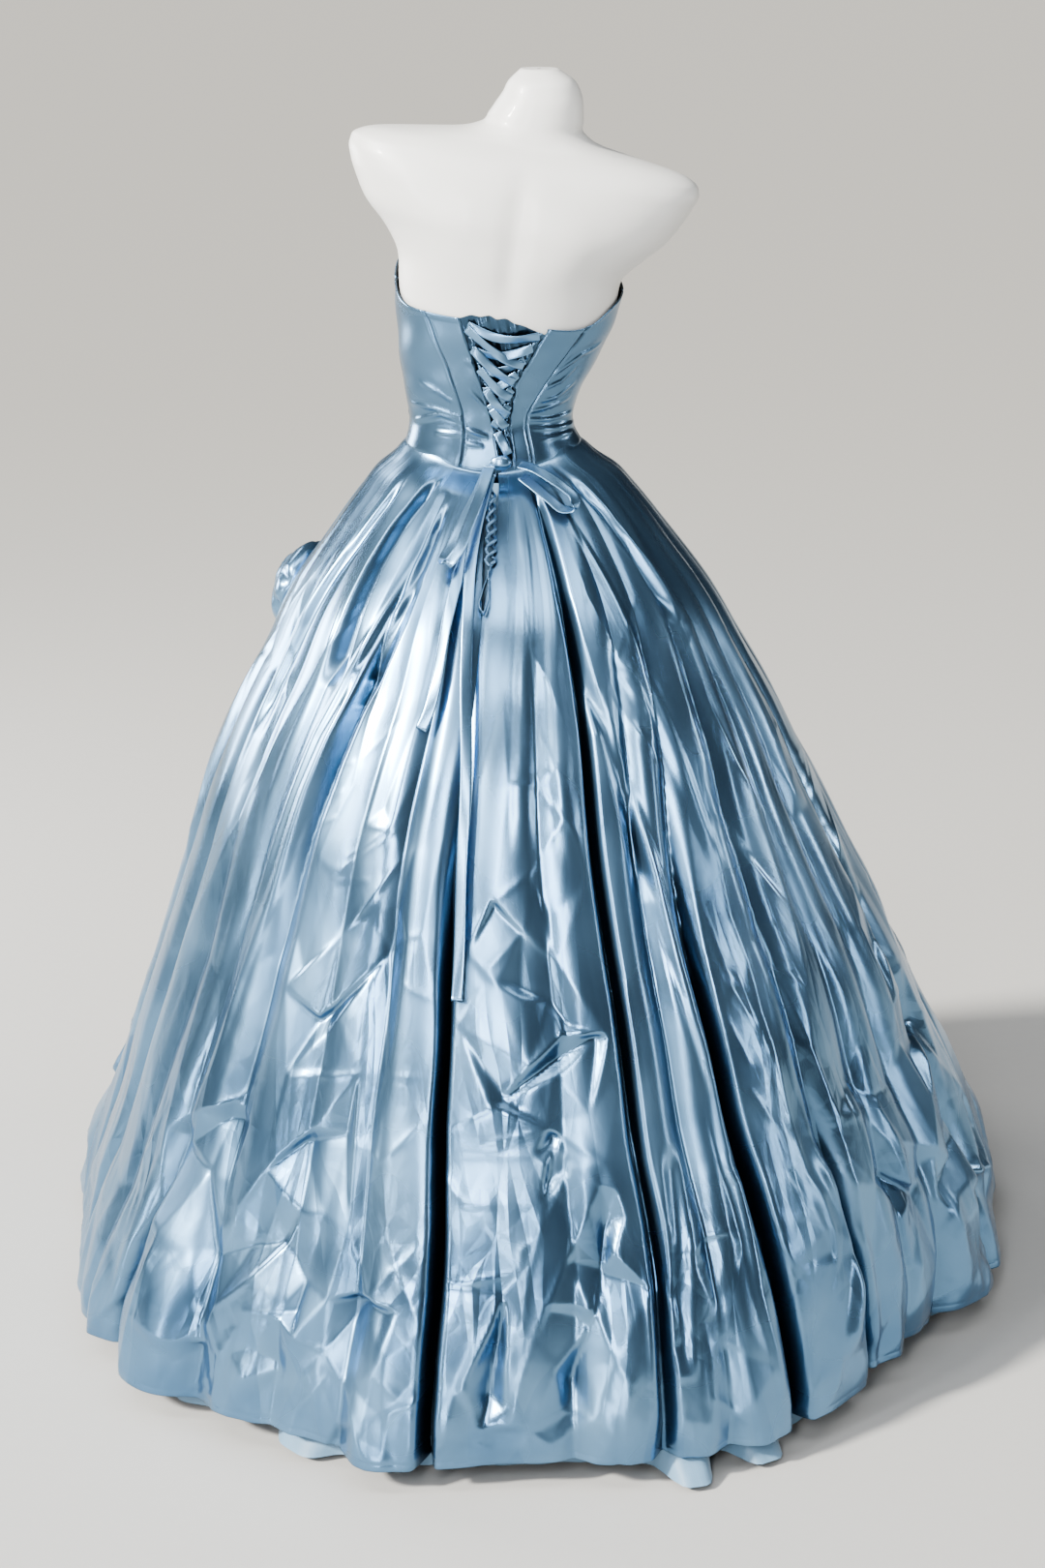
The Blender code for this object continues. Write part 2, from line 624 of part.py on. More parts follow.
def panel_points(low_seam, high_seam, columns, rows, lift):
    """Grid over one bodice panel between two seams, the waist seam and the top edge."""
    across, up = np.meshgrid(np.linspace(0, 1, columns), np.linspace(1, 0, rows))
    height = np.full(across.shape, 1.2)
    for _ in range(8):
        gap = np.degrees(SEAM_GAP / 2 / 0.1)
        low, high = seam_azimuth(low_seam, height), seam_azimuth(high_seam, height)
        low, high = low + gap, np.where(high < low, high + 360, high) - gap
        azimuth = low + (high - low) * across
        bottom, top = waist_edge(azimuth), top_edge(azimuth)
        height = bottom + (top - bottom) * up
    return body_point(azimuth, height, lift)


def build_bodice(material):
    outer = FORM_TO_BODICE + SATIN
    for name, low_seam, high_seam, columns in BODICE_PANELS:
        sheet(name, panel_points(low_seam, high_seam, columns, BODICE_ROWS, outer), material)
    across, up = np.meshgrid(np.linspace(-1, 1, 10), np.linspace(1, 0, BODICE_ROWS))
    height = MODESTY_FOOT + (MODESTY_TOP - MODESTY_FOOT) * up
    azimuth = MODESTY_MIDDLE + across * (MODESTY_HALF_FOOT + (MODESTY_HALF_TOP - MODESTY_HALF_FOOT) * up)
    sheet("modesty_panel", body_point(azimuth, height, FORM_TO_MODESTY + RIBBON), material, RIBBON)


def build_lacing(material):
    """Criss-cross strands and the rows of loops on both back edges."""
    for label, strands, lift in (("over", LACE_OVER, OVER_LIFT), ("under", LACE_UNDER, UNDER_LIFT)):
        for number, (left_az, left_z, right_az, right_z) in enumerate(strands):
            t = np.linspace(0, 1, 5)
            azimuth, height = left_az + (right_az - left_az) * t, left_z + (right_z - left_z) * t
            out = body_normal(azimuth, height)
            path = body_point(azimuth, height) + out * (lift + LACE_STAGGER * (number % 2))
            across = unit_rows(np.cross(out, np.gradient(path, axis=0)))
            ribbon(f"lace_{label}_{number + 1}", path, across, LACE_WIDTH, material)
    t = np.linspace(0, 1, LOOPS_COUNT * 5 + 1)
    height = LOOPS_TOP + (LOOPS_FOOT - LOOPS_TOP) * t
    swing = LOOPS_SWING * np.sin(t * LOOPS_COUNT * 2 * math.pi)
    for side, shift in (("left", -LOOPS_FROM_EDGE), ("right", LOOPS_FROM_EDGE)):
        azimuth = seam_azimuth("edge_" + side, height) + shift + swing
        tube("loops_" + side, body_point(azimuth, height, LOOPS_LIFT), LOOPS_RADIUS, material)


def skirt_columns(first, last):
    """Column azimuths of a panel as functions of the drop: in and beside each valley, and between."""
    columns = []
    for fold in range(first, last + 1):
        if fold > first:
            columns.append((fold, -VALLEY_SIDE))
        columns.append((fold, 0.0))
        if fold < last:
            columns.append((fold, VALLEY_SIDE))
            columns.append((fold, None))
    return columns


def valley(x):
    """Cross-section of a valley: 1 at its bottom, 0 from one half width away."""
    x = np.minimum(np.abs(x), 1)
    return (1 - x) ** 2 * (1 + 0.6 * x)


def skirt_panel_points(first, last):
    drops = np.array(SKIRT_ROWS)
    grid = []
    columns = skirt_columns(first, last)
    for fold, place in columns:
        azimuth = fold_azimuth(fold, drops)
        radius = skirt_radius(azimuth, skirt_height(azimuth, drops))
        half = fold_half_angle(fold, drops, radius)
        depth = fold_depth(fold, drops)
        if place is None:
            nearer = fold_azimuth(fold + 1, drops)
            half_next = fold_half_angle(fold + 1, drops, radius)
            azimuth = (azimuth + half + nearer - half_next) / 2
            inset = np.zeros(len(drops))
        else:
            azimuth = azimuth + place * half
            inset = depth * valley(place)
        grid.append((azimuth, inset))
    azimuth = np.array([column[0] for column in grid]).T
    inset = np.array([column[1] for column in grid]).T
    azimuth[:, 0] += edge_gap(first, drops, azimuth[:, 0])
    azimuth[:, -1] -= edge_gap(last, drops, azimuth[:, -1])
    drop = np.repeat(drops[:, None], azimuth.shape[1], axis=1)
    return skirt_point(azimuth, drop, inset)


def edge_gap(fold, drops, azimuth):
    """Half the gap at a panel's edge in degrees: a seam's, and the slit's at the centre back."""
    height = skirt_height(azimuth, drops)
    radius = skirt_radius(azimuth, height)
    gap = np.full(len(drops), SEAM_GAP / 2)
    if fold % len(FOLDS) == 0:
        table = np.array(SLIT)
        gap = gap + np.interp(height, table[:, 0], table[:, 1], left=0.0)
    return np.degrees(gap / radius)


def build_skirt(material):
    for name, first, last in SKIRT_PANELS:
        sheet(name, skirt_panel_points(first, last), material)


def build_underskirt(material):
    """Six gores of lining that follow the skirt inside and show under its hem."""
    for name, start, end in UNDER_GORES:
        columns = set(np.arange(start, end + 1, UNDER_STEP).tolist())
        for flute_az, half_width, _ in FLUTES:
            for place in (-2.0, -1.0, -0.5, 0.0, 0.5, 1.0, 2.0):
                spot = (flute_az + place * half_width) % 360
                if start + 2 < spot < end - 2:
                    columns.add(spot)
        azimuth, drop = np.meshgrid(sorted(columns), UNDER_ROWS)
        azimuth[:, 0] += UNDER_SEAM_HALF_GAP
        azimuth[:, -1] -= UNDER_SEAM_HALF_GAP
        sheet(name, underskirt_points(azimuth, drop), material, RIBBON)


def underskirt_points(azimuth, drop):
    top = waist_edge(azimuth) - UNDER_TOP_DROP
    height = top + (UNDER_HEM_Z - top) * drop
    inset = np.interp(drop, *np.array(UNDER_INSET).T)
    wave = UNDER_WAVE * drop * np.sin(np.radians(azimuth * UNDER_WAVES + 40))
    swing = np.zeros(azimuth.shape)
    for flute_az, half_width, reach in FLUTES:
        x = ((azimuth - flute_az + 180) % 360 - 180) / half_width
        swing += reach * np.exp(-x ** 2) * np.clip((drop - FLUTE_START) / (1 - FLUTE_START), 0, 1) ** 2
    radius = skirt_radius(azimuth, height) + hem_swing(azimuth, drop) - inset + wave + swing
    _, centre_x = skirt_row(height)
    turn = np.radians(azimuth)
    return np.stack([centre_x + radius * np.sin(turn), radius * np.cos(turn), height], -1)


def skirt_path(table, count):
    """Path over the skirt through (azimuth, height, lift) rows, with the outward directions."""
    frames = [skirt_frame(*row) for row in table]
    path = curve_through([point for point, _ in frames], count)
    out = curve_through([normal for _, normal in frames], count)
    return path, unit_rows(out)


def build_bow(material):
    """Knot, two loops and two free ends at the waist."""
    for name, table, count in (("bow_tail_long", TAIL_LONG, 20), ("bow_tail_short", TAIL_SHORT, 12)):
        path, out = skirt_path(table, count)
        across = unit_rows(np.cross(out, np.gradient(path, axis=0)))
        ribbon(name, path, across, RIBBON_WIDTH, material)
    for name, table in (("bow_loop_left", LOOP_LEFT), ("bow_loop_right", LOOP_RIGHT)):
        path, out = skirt_path(table, 20)
        chord = unit(path[len(path) // 2] - path[0])
        plane = unit(np.cross(chord, out[len(out) // 2]))
        along = unit_rows(np.gradient(path, axis=0))
        across = unit_rows(plane - (plane * along).sum(axis=1)[:, None] * along)
        ribbon(name, path, across, RIBBON_WIDTH, material)
    bpy.ops.mesh.primitive_uv_sphere_add(segments=14, ring_count=8, radius=1.0)
    knot = bpy.context.object
    centre, _ = skirt_frame(BOW_AZIMUTH, BOW_Z, KNOT_LIFT)
    finish_primitive(knot, "bow_knot", centre, KNOT_HALF, material)


def build_slit_loops(material):
    """The row of loops down the skirt's slit and the ribbon end under it."""
    t = np.linspace(0, 1, SLIT_LOOPS * 5 + 1)
    height = SLIT_LOOPS_TOP + (SLIT_LOOPS_FOOT - SLIT_LOOPS_TOP) * t
    azimuth = SLIT_LOOPS_AZIMUTH + SLIT_LOOPS_SWING * np.sin(t * SLIT_LOOPS * 2 * math.pi)
    points = [skirt_frame(a, h, SLIT_LOOPS_LIFT)[0] for a, h in zip(azimuth, height)]
    tube("slit_loops", points, LOOPS_RADIUS, material)
    path, out = skirt_path(SLIT_END, 8)
    across = unit_rows(np.cross(out, np.gradient(path, axis=0)))
    ribbon("slit_end", path, across, LACE_WIDTH, material)


def build_rosette(material):
    """One long strip rolled outwards from the middle, its upper edge curling over."""
    centre, out = skirt_frame(ROSETTE_AZIMUTH, ROSETTE_Z, ROSETTE_LIFT)
    side = unit(np.cross(out, np.array([0.0, 0.0, 1.0])))
    up = np.cross(side, out)
    share = np.linspace(0, 1, int(ROSETTE_TURNS * ROSETTE_STEPS_A_TURN) + 1)
    turn = share * ROSETTE_TURNS * 2 * math.pi
    base = ROSETTE_CORE + (ROSETTE_RIM - ROSETTE_CORE) * share
    height = ROSETTE_DEPTH_CORE + (ROSETTE_DEPTH_RIM - ROSETTE_DEPTH_CORE) * share
    height = height + ROSETTE_RIPPLE * np.sin(turn * 1.37)
    rows = []
    for rise, swing in ROSETTE_LINES:
        radius = base + swing * (0.35 + 0.65 * share)
        sag = (radius * np.cos(turn)) ** 2 / (2 * ROSETTE_SEAT)
        level = rise * height - sag * (1 - rise)
        point = centre + np.outer(radius * np.cos(turn), side) + np.outer(radius * np.sin(turn), up)
        rows.append(point + np.outer(level, out))
    mesh = grid_mesh("rosette", np.array(rows)[::-1])
    solidify(add_object("rosette", mesh, material), SATIN, -1.0)


def main():
    for old in list(bpy.data.objects):
        bpy.data.objects.remove(old)
    collection = bpy.data.collections.new("ball_gown")
    bpy.context.scene.collection.children.link(collection)
    satin = make_material("satin", SATIN_COLOUR, 0.28, 0.35)
    lining = make_material("lining", LINING_COLOUR, 0.6, 0.0)
    form = make_material("form", FORM_COLOUR, 0.45, 0.0)
    build_form(form)
    build_bodice(satin)
    build_lacing(satin)
    build_skirt(satin)
    build_underskirt(lining)
    build_bow(satin)
    build_slit_loops(satin)
    build_rosette(satin)
    for material in (satin, lining, form):
        bpy.data.materials.remove(material)


main()
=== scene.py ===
import math

import bpy
import numpy as np
from bpy.props import FloatProperty, FloatVectorProperty
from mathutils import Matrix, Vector
from mathutils.geometry import delaunay_2d_cdt


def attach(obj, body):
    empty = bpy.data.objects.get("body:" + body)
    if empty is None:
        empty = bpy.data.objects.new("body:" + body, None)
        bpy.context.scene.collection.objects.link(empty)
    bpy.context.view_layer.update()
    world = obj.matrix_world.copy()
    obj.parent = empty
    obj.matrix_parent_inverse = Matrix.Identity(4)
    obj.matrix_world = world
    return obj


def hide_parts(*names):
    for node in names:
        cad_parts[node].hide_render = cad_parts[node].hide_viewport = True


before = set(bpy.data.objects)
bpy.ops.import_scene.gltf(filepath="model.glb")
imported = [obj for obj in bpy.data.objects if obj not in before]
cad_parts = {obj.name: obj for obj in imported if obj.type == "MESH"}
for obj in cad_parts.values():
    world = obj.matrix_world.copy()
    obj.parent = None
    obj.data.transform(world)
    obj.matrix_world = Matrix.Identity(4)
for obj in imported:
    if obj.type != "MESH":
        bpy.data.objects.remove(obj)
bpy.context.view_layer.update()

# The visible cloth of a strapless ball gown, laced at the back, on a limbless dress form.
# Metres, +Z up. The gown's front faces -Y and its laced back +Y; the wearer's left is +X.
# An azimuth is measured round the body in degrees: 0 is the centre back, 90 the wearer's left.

bl_info = {
    "name": "Ball gown on a dress form",
    "version": (1, 0, 0),
    "blender": (4, 5, 0),
    "location": "View3D > Sidebar > Gown",
    "description": "Builds the satin, lining, lacing, bow and rosette of a ball gown over its frame",
    "category": "Object",
}

# Driving sizes.
SEAM_GAP = 0.0004
WAIST_GAP = 0.0010
SATIN = 0.0016
RIBBON = 0.0012
FORM_TO_MODESTY = 0.0010
FORM_TO_BODICE = 0.0034
WAIST_Z = 1.094
WAIST_SIDE_RISE = 0.026
HEM_Z = 0.034
UNDER_HEM_Z = 0.008
LACE_WIDTH = 0.0108
RIBBON_WIDTH = 0.0140
SECTION_POWER = 2.3

# Body sections: each ring is tilted about Y, with its +X side up.
BODY = np.array((
    # height, centre_x, centre_y, half_width, back depth, front depth, tilt
    (0.805, 0.046, 0.000, 0.112, 0.078, 0.078, 0.0),
    (0.830, 0.046, 0.000, 0.148, 0.106, 0.097, 0.0),
    (0.900, 0.047, 0.000, 0.168, 0.122, 0.104, 0.0),
    (0.980, 0.050, 0.000, 0.157, 0.110, 0.102, 0.0),
    (1.050, 0.052, 0.000, 0.131, 0.088, 0.094, 0.0),
    (1.107, 0.054, 0.000, 0.109, 0.077, 0.086, 0.0),
    (1.150, 0.059, 0.000, 0.096, 0.070, 0.080, 0.5),
    (1.187, 0.057, 0.000, 0.105, 0.074, 0.086, 2.0),
    (1.245, 0.046, 0.000, 0.122, 0.084, 0.104, 4.0),
    (1.302, 0.037, 0.000, 0.134, 0.092, 0.112, 6.0),
    (1.340, 0.034, -0.002, 0.141, 0.100, 0.106, 8.0),
    (1.363, 0.030, -0.003, 0.160, 0.102, 0.103, 8.8),
    (1.387, 0.027, -0.004, 0.184, 0.103, 0.100, 8.8),
    (1.412, 0.023, -0.006, 0.200, 0.100, 0.095, 8.8),
    (1.432, 0.020, -0.007, 0.2095, 0.094, 0.088, 8.8),
    (1.452, 0.016, -0.008, 0.2145, 0.084, 0.078, 8.8),
    (1.464, 0.015, -0.009, 0.207, 0.076, 0.070, 8.8),
    (1.472, 0.013, -0.009, 0.185, 0.068, 0.064, 8.8),
    (1.479, 0.012, -0.010, 0.140, 0.062, 0.060, 8.6),
    (1.487, 0.010, -0.010, 0.090, 0.058, 0.057, 8.0),
    (1.496, 0.007, -0.011, 0.066, 0.056, 0.056, 7.0),
    (1.512, 0.002, -0.012, 0.0575, 0.054, 0.054, 5.0),
    (1.526, -0.002, -0.012, 0.053, 0.051, 0.051, 3.0),
    (1.539, -0.005, -0.013, 0.0475, 0.047, 0.047, 2.0),
    (1.553, -0.004, -0.013, 0.040, 0.040, 0.040, 0.0),
    (1.567, -0.001, -0.013, 0.0225, 0.0225, 0.0225, 0.0),
))
BUST_RISE = 0.013
BUST_Z = 1.290
BUST_AZIMUTH = 150.0
BUST_HALF_ANGLE = 21
BUST_HALF_HEIGHT = 0.036
BODY_AXIS_X = 0.05
# The bare back above the gown: heights where it fades in and out, its spine and its shoulder blades.
BACK_FROM, BACK_TO = 1.285, 1.47
SPINE_DEPTH, SPINE_HALF_ANGLE = 0.0045, 9
BLADE_RISE, BLADE_AZIMUTH, BLADE_HALF_ANGLE = 0.004, 36, 15
BLADE_Z, BLADE_HALF_HEIGHT = 1.375, 0.04

# Bodice edges and seams: azimuth at each height, bottom to top.
SEAMS = {
    "edge_left": (
        (1.09, -6.0), (1.142, -5.0), (1.172, 1.0), (1.196, 8.0), (1.222, 17.0), (1.252, 26.0),
        (1.30, 38.0),
    ),
    "princess_left": (
        (1.09, 29.0), (1.142, 23.0), (1.166, 25.0), (1.194, 31.0), (1.234, 43.0), (1.30, 60.0),
    ),
    "side_left": ((1.09, 88.0), (1.37, 92.0)),
    "front_left": ((1.09, 159.0), (1.16, 157.0), (1.29, 146.0), (1.37, 143.0)),
    "front_right": ((1.09, 201.0), (1.16, 203.0), (1.29, 214.0), (1.37, 217.0)),
    "side_right": ((1.09, 272.0), (1.37, 268.0)),
    "princess_right": ((1.09, 329.0), (1.164, 326.0), (1.21, 316.0), (1.25, 310.0), (1.30, 298.0)),
    "edge_right": (
        (1.09, 345.0), (1.16, 341.0), (1.186, 340.0), (1.204, 340.0), (1.226, 336.0), (1.252, 332.0),
        (1.30, 322.0),
    ),
}
# Top edge of the bodice: ring height at each azimuth.
TOP_EDGE = (
    (0.0, 1.278), (50.0, 1.278), (72.0, 1.284), (90.0, 1.302), (115.0, 1.332), (146.0, 1.352),
    (166.0, 1.342), (180.0, 1.326), (194.0, 1.342), (214.0, 1.352), (245.0, 1.334), (270.0, 1.318),
    (286.0, 1.304), (300.0, 1.280), (330.0, 1.272), (360.0, 1.278),
)
BODICE_PANELS = (
    # name, seams on its lower and higher azimuth side, grid columns, width, length and area as cut
    ("bodice_centre_back_left", "edge_left", "princess_left", 36, 0.072, 0.19, 0.0081),
    ("bodice_side_back_left", "princess_left", "side_left", 60, 0.125, 0.21, 0.0205),
    ("bodice_side_front_left", "side_left", "front_left", 66, 0.155, 0.25, 0.0320),
    ("bodice_centre_front", "front_left", "front_right", 70, 0.165, 0.26, 0.0298),
    ("bodice_side_front_right", "front_right", "side_right", 66, 0.150, 0.25, 0.0300),
    ("bodice_side_back_right", "side_right", "princess_right", 60, 0.120, 0.22, 0.0182),
    ("bodice_centre_back_right", "princess_right", "edge_right", 34, 0.060, 0.19, 0.0062),
)
BODICE_ROWS = 120
# Relief of a bodice panel: the roll into its seams, the ridge of the boning beside them, its pulled
# creases, its slow undulation, the bound top edge and the roll into the waist seam.
SEAM_ROLL, SEAM_ROLL_WIDTH = 0.0013, 0.0012
BONE_RIDGE, BONE_FROM_SEAM, BONE_HALF_WIDTH = 0.0006, 0.0035, 0.002
PULL_RISE, PULL_WIDTH, PULL_HOLLOW_WIDTH = 0.00088, 0.0032, 0.008
UNDULATION = 0.0015
METRES_A_DEGREE, EDGE_METRES_A_DEGREE = 0.002, 0.0019
BINDING_RISE, BINDING_EDGE = 0.0007, 0.0008
WAIST_ROLL, WAIST_ROLL_WIDTH = 0.0012, 0.0015

# Lacing: each strand runs from the left edge to the right edge, as (azimuth, height) pairs.
LACE_OVER = (
    # left azimuth, left height, right azimuth, right height
    (27.0, 1.268, -21.0, 1.228),
    (21.0, 1.245, -17.0, 1.207),
    (13.5, 1.221, -17.0, 1.186),
    (5.0, 1.196, -16.5, 1.164),
    (-2.0, 1.171, -15.0, 1.147),
    (-7.0, 1.140, -13.0, 1.114),
)
LACE_UNDER = (
    (27.0, 1.271, -27.0, 1.265),
    (21.0, 1.243, -24.0, 1.250),
    (14.0, 1.217, -21.0, 1.234),
    (7.0, 1.193, -18.0, 1.216),
    (0.5, 1.170, -17.0, 1.196),
    (-4.0, 1.148, -16.0, 1.176),
)
UNDER_LIFT = 0.0074
OVER_LIFT = 0.0108
LACE_STAGGER = 0.0016
LACE_CUP = 0.0007
LACE_DIP = 0.0022
# Thickness of the doubled, pressed ribbon.
DOUBLED = 0.0009
LOOPS_EACH_SIDE = 12
LOOPS_LIFT = 0.0042
LOOPS_RADIUS = 0.0013
LOOPS_TOP = 1.268
LOOPS_FOOT = 1.135
LOOP_HALF_HEIGHT = 0.0042
# How far a loop starts from the edge and reaches beyond that, in degrees.
LOOP_START, LOOP_REACH = 2.6, 1.6
# Slack of each lacing strand at its middle, and how far it rolls along its way in degrees.
LACE_SAG = {
    "over": (0.006, 0.004, 0.003, 0.002, 0.0, 0.0),
    "under": (0.009, 0.008, 0.006, 0.004, 0.002, 0.001),
}
LACE_ROLL = {
    "over": (24, -18, 20, -16, 14, -10),
    "under": (-22, 26, -20, 20, -14, 10),
}

# Modesty panel behind the lacing.
MODESTY_TOP = 1.284
# Its wavy top edge: how far it falls below that height, by azimuth.
MODESTY_FALL = (
    (-60.0, 0.026), (-39.0, 0.022), (-28.0, 0.0165), (-21.0, 0.0125), (-14.0, 0.0085), (-7.0, 0.0065),
    (0.0, 0.0015), (6.0, 0.0035), (12.0, 0.0), (19.0, 0.0025), (25.0, 0.0015), (31.0, 0.0055),
    (36.0, 0.0085), (60.0, 0.012),
)
MODESTY_MIDDLE = -4.0
MODESTY_HALF_TOP = 44.0
MODESTY_HALF_FOOT = 23.0

# Skirt: outer radius and sideways drift at each height.
SKIRT = np.array((
    # height, radius, centre_x
    (0.000, 0.628, 0.001),
    (0.034, 0.625, 0.001),
    (0.080, 0.618, 0.001),
    (0.131, 0.606, 0.001),
    (0.272, 0.553, 0.001),
    (0.384, 0.508, 0.010),
    (0.492, 0.467, 0.015),
    (0.599, 0.422, 0.026),
    (0.705, 0.378, 0.036),
    (0.808, 0.330, 0.039),
    (0.860, 0.301, 0.040),
    (0.936, 0.261, 0.044),
    (1.010, 0.208, 0.047),
    (1.035, 0.189, 0.048),
    (1.060, 0.168, 0.049),
    (1.084, 0.146, 0.051),
    (1.100, 0.124, 0.053),
    (1.125, 0.110, 0.055),
))
# How the hem leaves a level circle, round the body.
HEM = np.array((
    # azimuth, swing outwards, rise of the edge
    (-10.0, 0.004, 0.002),
    (4.0, -0.010, 0.002),
    (14.0, 0.018, -0.002),
    (29.0, 0.000, 0.004),
    (41.0, 0.004, 0.000),
    (46.0, 0.030, 0.000),
    (52.0, 0.026, 0.002),
    (57.0, 0.004, 0.004),
    (63.0, 0.006, 0.000),
    (76.0, -0.010, 0.004),
    (88.0, -0.024, 0.004),
    (97.0, 0.006, 0.000),
    (105.0, 0.030, -0.002),
    (120.0, 0.006, 0.004),
    (135.0, 0.000, 0.004),
    (158.0, 0.012, -0.004),
    (182.0, -0.004, 0.004),
    (204.0, 0.012, -0.004),
    (228.0, 0.002, 0.004),
    (245.0, 0.010, 0.002),
    (255.0, 0.032, -0.002),
    (262.0, 0.010, 0.002),
    (268.0, -0.014, 0.004),
    (278.0, -0.008, 0.000),
    (286.0, -0.012, 0.002),
    (299.0, -0.044, 0.006),
    (312.0, -0.042, 0.006),
    (320.0, -0.032, 0.000),
    (331.0, -0.003, 0.000),
    (350.0, 0.004, 0.002),
    (364.0, -0.010, 0.002),
))
# Valleys between the skirt's folds, round the body: where each lies at the waist and the hem,
# how deep it is high up, at knee height and at the hem, and half its width at the hem.
FOLDS = np.array((
    # waist azimuth, middle azimuth, hem azimuth, depth high up, depth at the knee, hem depth, half width
    (2.5, 10.8, 12.0, 0.006, 0.030, 0.030, 0.024),
    (11.0, 20.0, 22.0, 0.012, 0.010, 0.014, 0.040),
    (19.0, 29.0, 31.0, 0.006, 0.008, 0.008, 0.036),
    (27.0, 41.0, 42.0, 0.022, 0.014, 0.010, 0.046),
    (41.0, 50.0, 56.5, 0.010, 0.012, 0.028, 0.034),
    (53.0, 59.0, 65.0, 0.007, 0.010, 0.010, 0.034),
    (65.0, 70.0, 76.0, 0.009, 0.016, 0.022, 0.036),
    (78.0, 82.0, 88.5, 0.008, 0.012, 0.032, 0.036),
    (91.0, 93.0, 97.0, 0.010, 0.018, 0.010, 0.036),
    (104.0, 107.0, 112.5, 0.009, 0.014, 0.026, 0.040),
    (114.0, 118.0, 121.0, 0.010, 0.022, 0.026, 0.040),
    (127.0, 128.0, 129.0, 0.008, 0.012, 0.018, 0.038),
    (137.0, 139.0, 139.0, 0.012, 0.020, 0.026, 0.046),
    (150.0, 150.0, 149.0, 0.009, 0.016, 0.030, 0.040),
    (161.0, 161.0, 162.0, 0.012, 0.026, 0.022, 0.042),
    (173.0, 173.0, 172.0, 0.008, 0.012, 0.020, 0.040),
    (184.0, 185.0, 186.0, 0.010, 0.022, 0.032, 0.044),
    (196.0, 196.0, 197.0, 0.009, 0.014, 0.018, 0.038),
    (207.0, 208.0, 208.0, 0.012, 0.024, 0.030, 0.044),
    (219.0, 220.0, 220.0, 0.008, 0.012, 0.020, 0.040),
    (232.0, 231.0, 230.0, 0.011, 0.020, 0.028, 0.042),
    (243.0, 241.0, 239.0, 0.008, 0.014, 0.018, 0.038),
    (255.0, 252.0, 248.0, 0.010, 0.020, 0.026, 0.038),
    (269.0, 269.0, 267.0, 0.010, 0.016, 0.032, 0.038),
    (280.0, 284.0, 283.0, 0.008, 0.014, 0.020, 0.036),
    (289.0, 296.0, 297.0, 0.008, 0.012, 0.014, 0.036),
    (298.0, 306.0, 306.5, 0.008, 0.010, 0.012, 0.034),
    (306.0, 317.0, 315.5, 0.012, 0.014, 0.036, 0.036),
    (316.0, 331.0, 329.0, 0.010, 0.030, 0.034, 0.034),
    (326.0, 338.0, 338.5, 0.014, 0.014, 0.012, 0.034),
    (339.5, 345.0, 346.0, 0.024, 0.028, 0.020, 0.026),
    (352.0, 355.0, 356.0, 0.008, 0.008, 0.012, 0.046),
))
SKIRT_PANELS = (
    # name, valleys it starts and ends in, grid columns and rows, width, length and area as cut
    ("skirt_back_left", 0, 8, 295, 316, 1.16, 1.20, 0.82),
    ("skirt_front", 8, 23, 400, 228, 2.30, 1.20, 1.75),
    ("skirt_back_right", 23, 32, 295, 316, 1.40, 1.20, 1.05),
)
# The open slit under the lacing: half its width at each height.
SLIT = ((0.950, 0.0), (0.975, 0.0025), (1.0, 0.0052), (1.030, 0.0068), (1.060, 0.0076), (1.10, 0.0090))

# Flutes of the underskirt that swing out below the outer hem.
FLUTES = np.array((
    # azimuth, half width in degrees, reach
    (-16.8, 2.0, 0.060),
    (-26.0, 2.2, 0.058),
    (28.0, 3.0, 0.040),
))
UNDER_TOP_DROP = 0.012
UNDER_WAVE = 0.006
UNDER_WAVES = 19
UNDER_RIPPLE = 0.0025
UNDER_GORES = (
    # name, azimuth of its first seam, azimuth of its second seam
    ("underskirt_back_left", 6.0, 66.0),
    ("underskirt_left", 66.0, 126.0),
    ("underskirt_front_left", 126.0, 186.0),
    ("underskirt_front_right", 186.0, 246.0),
    ("underskirt_right", 246.0, 306.0),
    ("underskirt_back_right", 306.0, 366.0),
)
UNDER_SEAM_HALF_GAP = 0.05
FLUTE_START = 0.95
FLUTE_FULLNESS = 1.35
# Gap between the underskirt and the skirt's ridges on the way down.
UNDER_INSET = (
    # drop, inset
    (0.0, 0.012), (0.05, 0.027), (0.12, 0.042), (0.25, 0.052), (0.6, 0.054), (1.0, 0.050),
)

# Bow and ribbon ends: azimuth, height and lift off the skirt of each point along them.
BOW_AZIMUTH = -4.0
BOW_Z = 1.089
TAIL_LONG = (
    (3.5, 1.083, 0.019), (6.5, 1.064, 0.018), (8.5, 1.032, 0.016), (9.0, 0.998, 0.015),
    (8.5, 0.948, 0.014), (8.5, 0.888, 0.014), (7.5, 0.786, 0.014), (8.0, 0.682, 0.014),
    (9.0, 0.578, 0.013), (9.5, 0.542, 0.012),
)
TAIL_SHORT = (
    (4.5, 1.083, 0.012), (8.5, 1.062, 0.009), (11.5, 1.015, 0.009), (13.5, 0.962, 0.011),
    (14.5, 0.918, 0.012), (15.5, 0.876, 0.013), (16.5, 0.844, 0.013), (17.5, 0.828, 0.012),
)
LOOP_LEFT = (
    (4.5, 1.086, 0.024), (10.0, 1.062, 0.022), (14.0, 1.034, 0.021), (16.5, 1.012, 0.020),
    (17.3, 0.999, 0.023), (15.6, 0.993, 0.029), (13.0, 1.002, 0.033), (11.0, 1.026, 0.033),
    (8.0, 1.058, 0.033), (4.5, 1.082, 0.032),
)
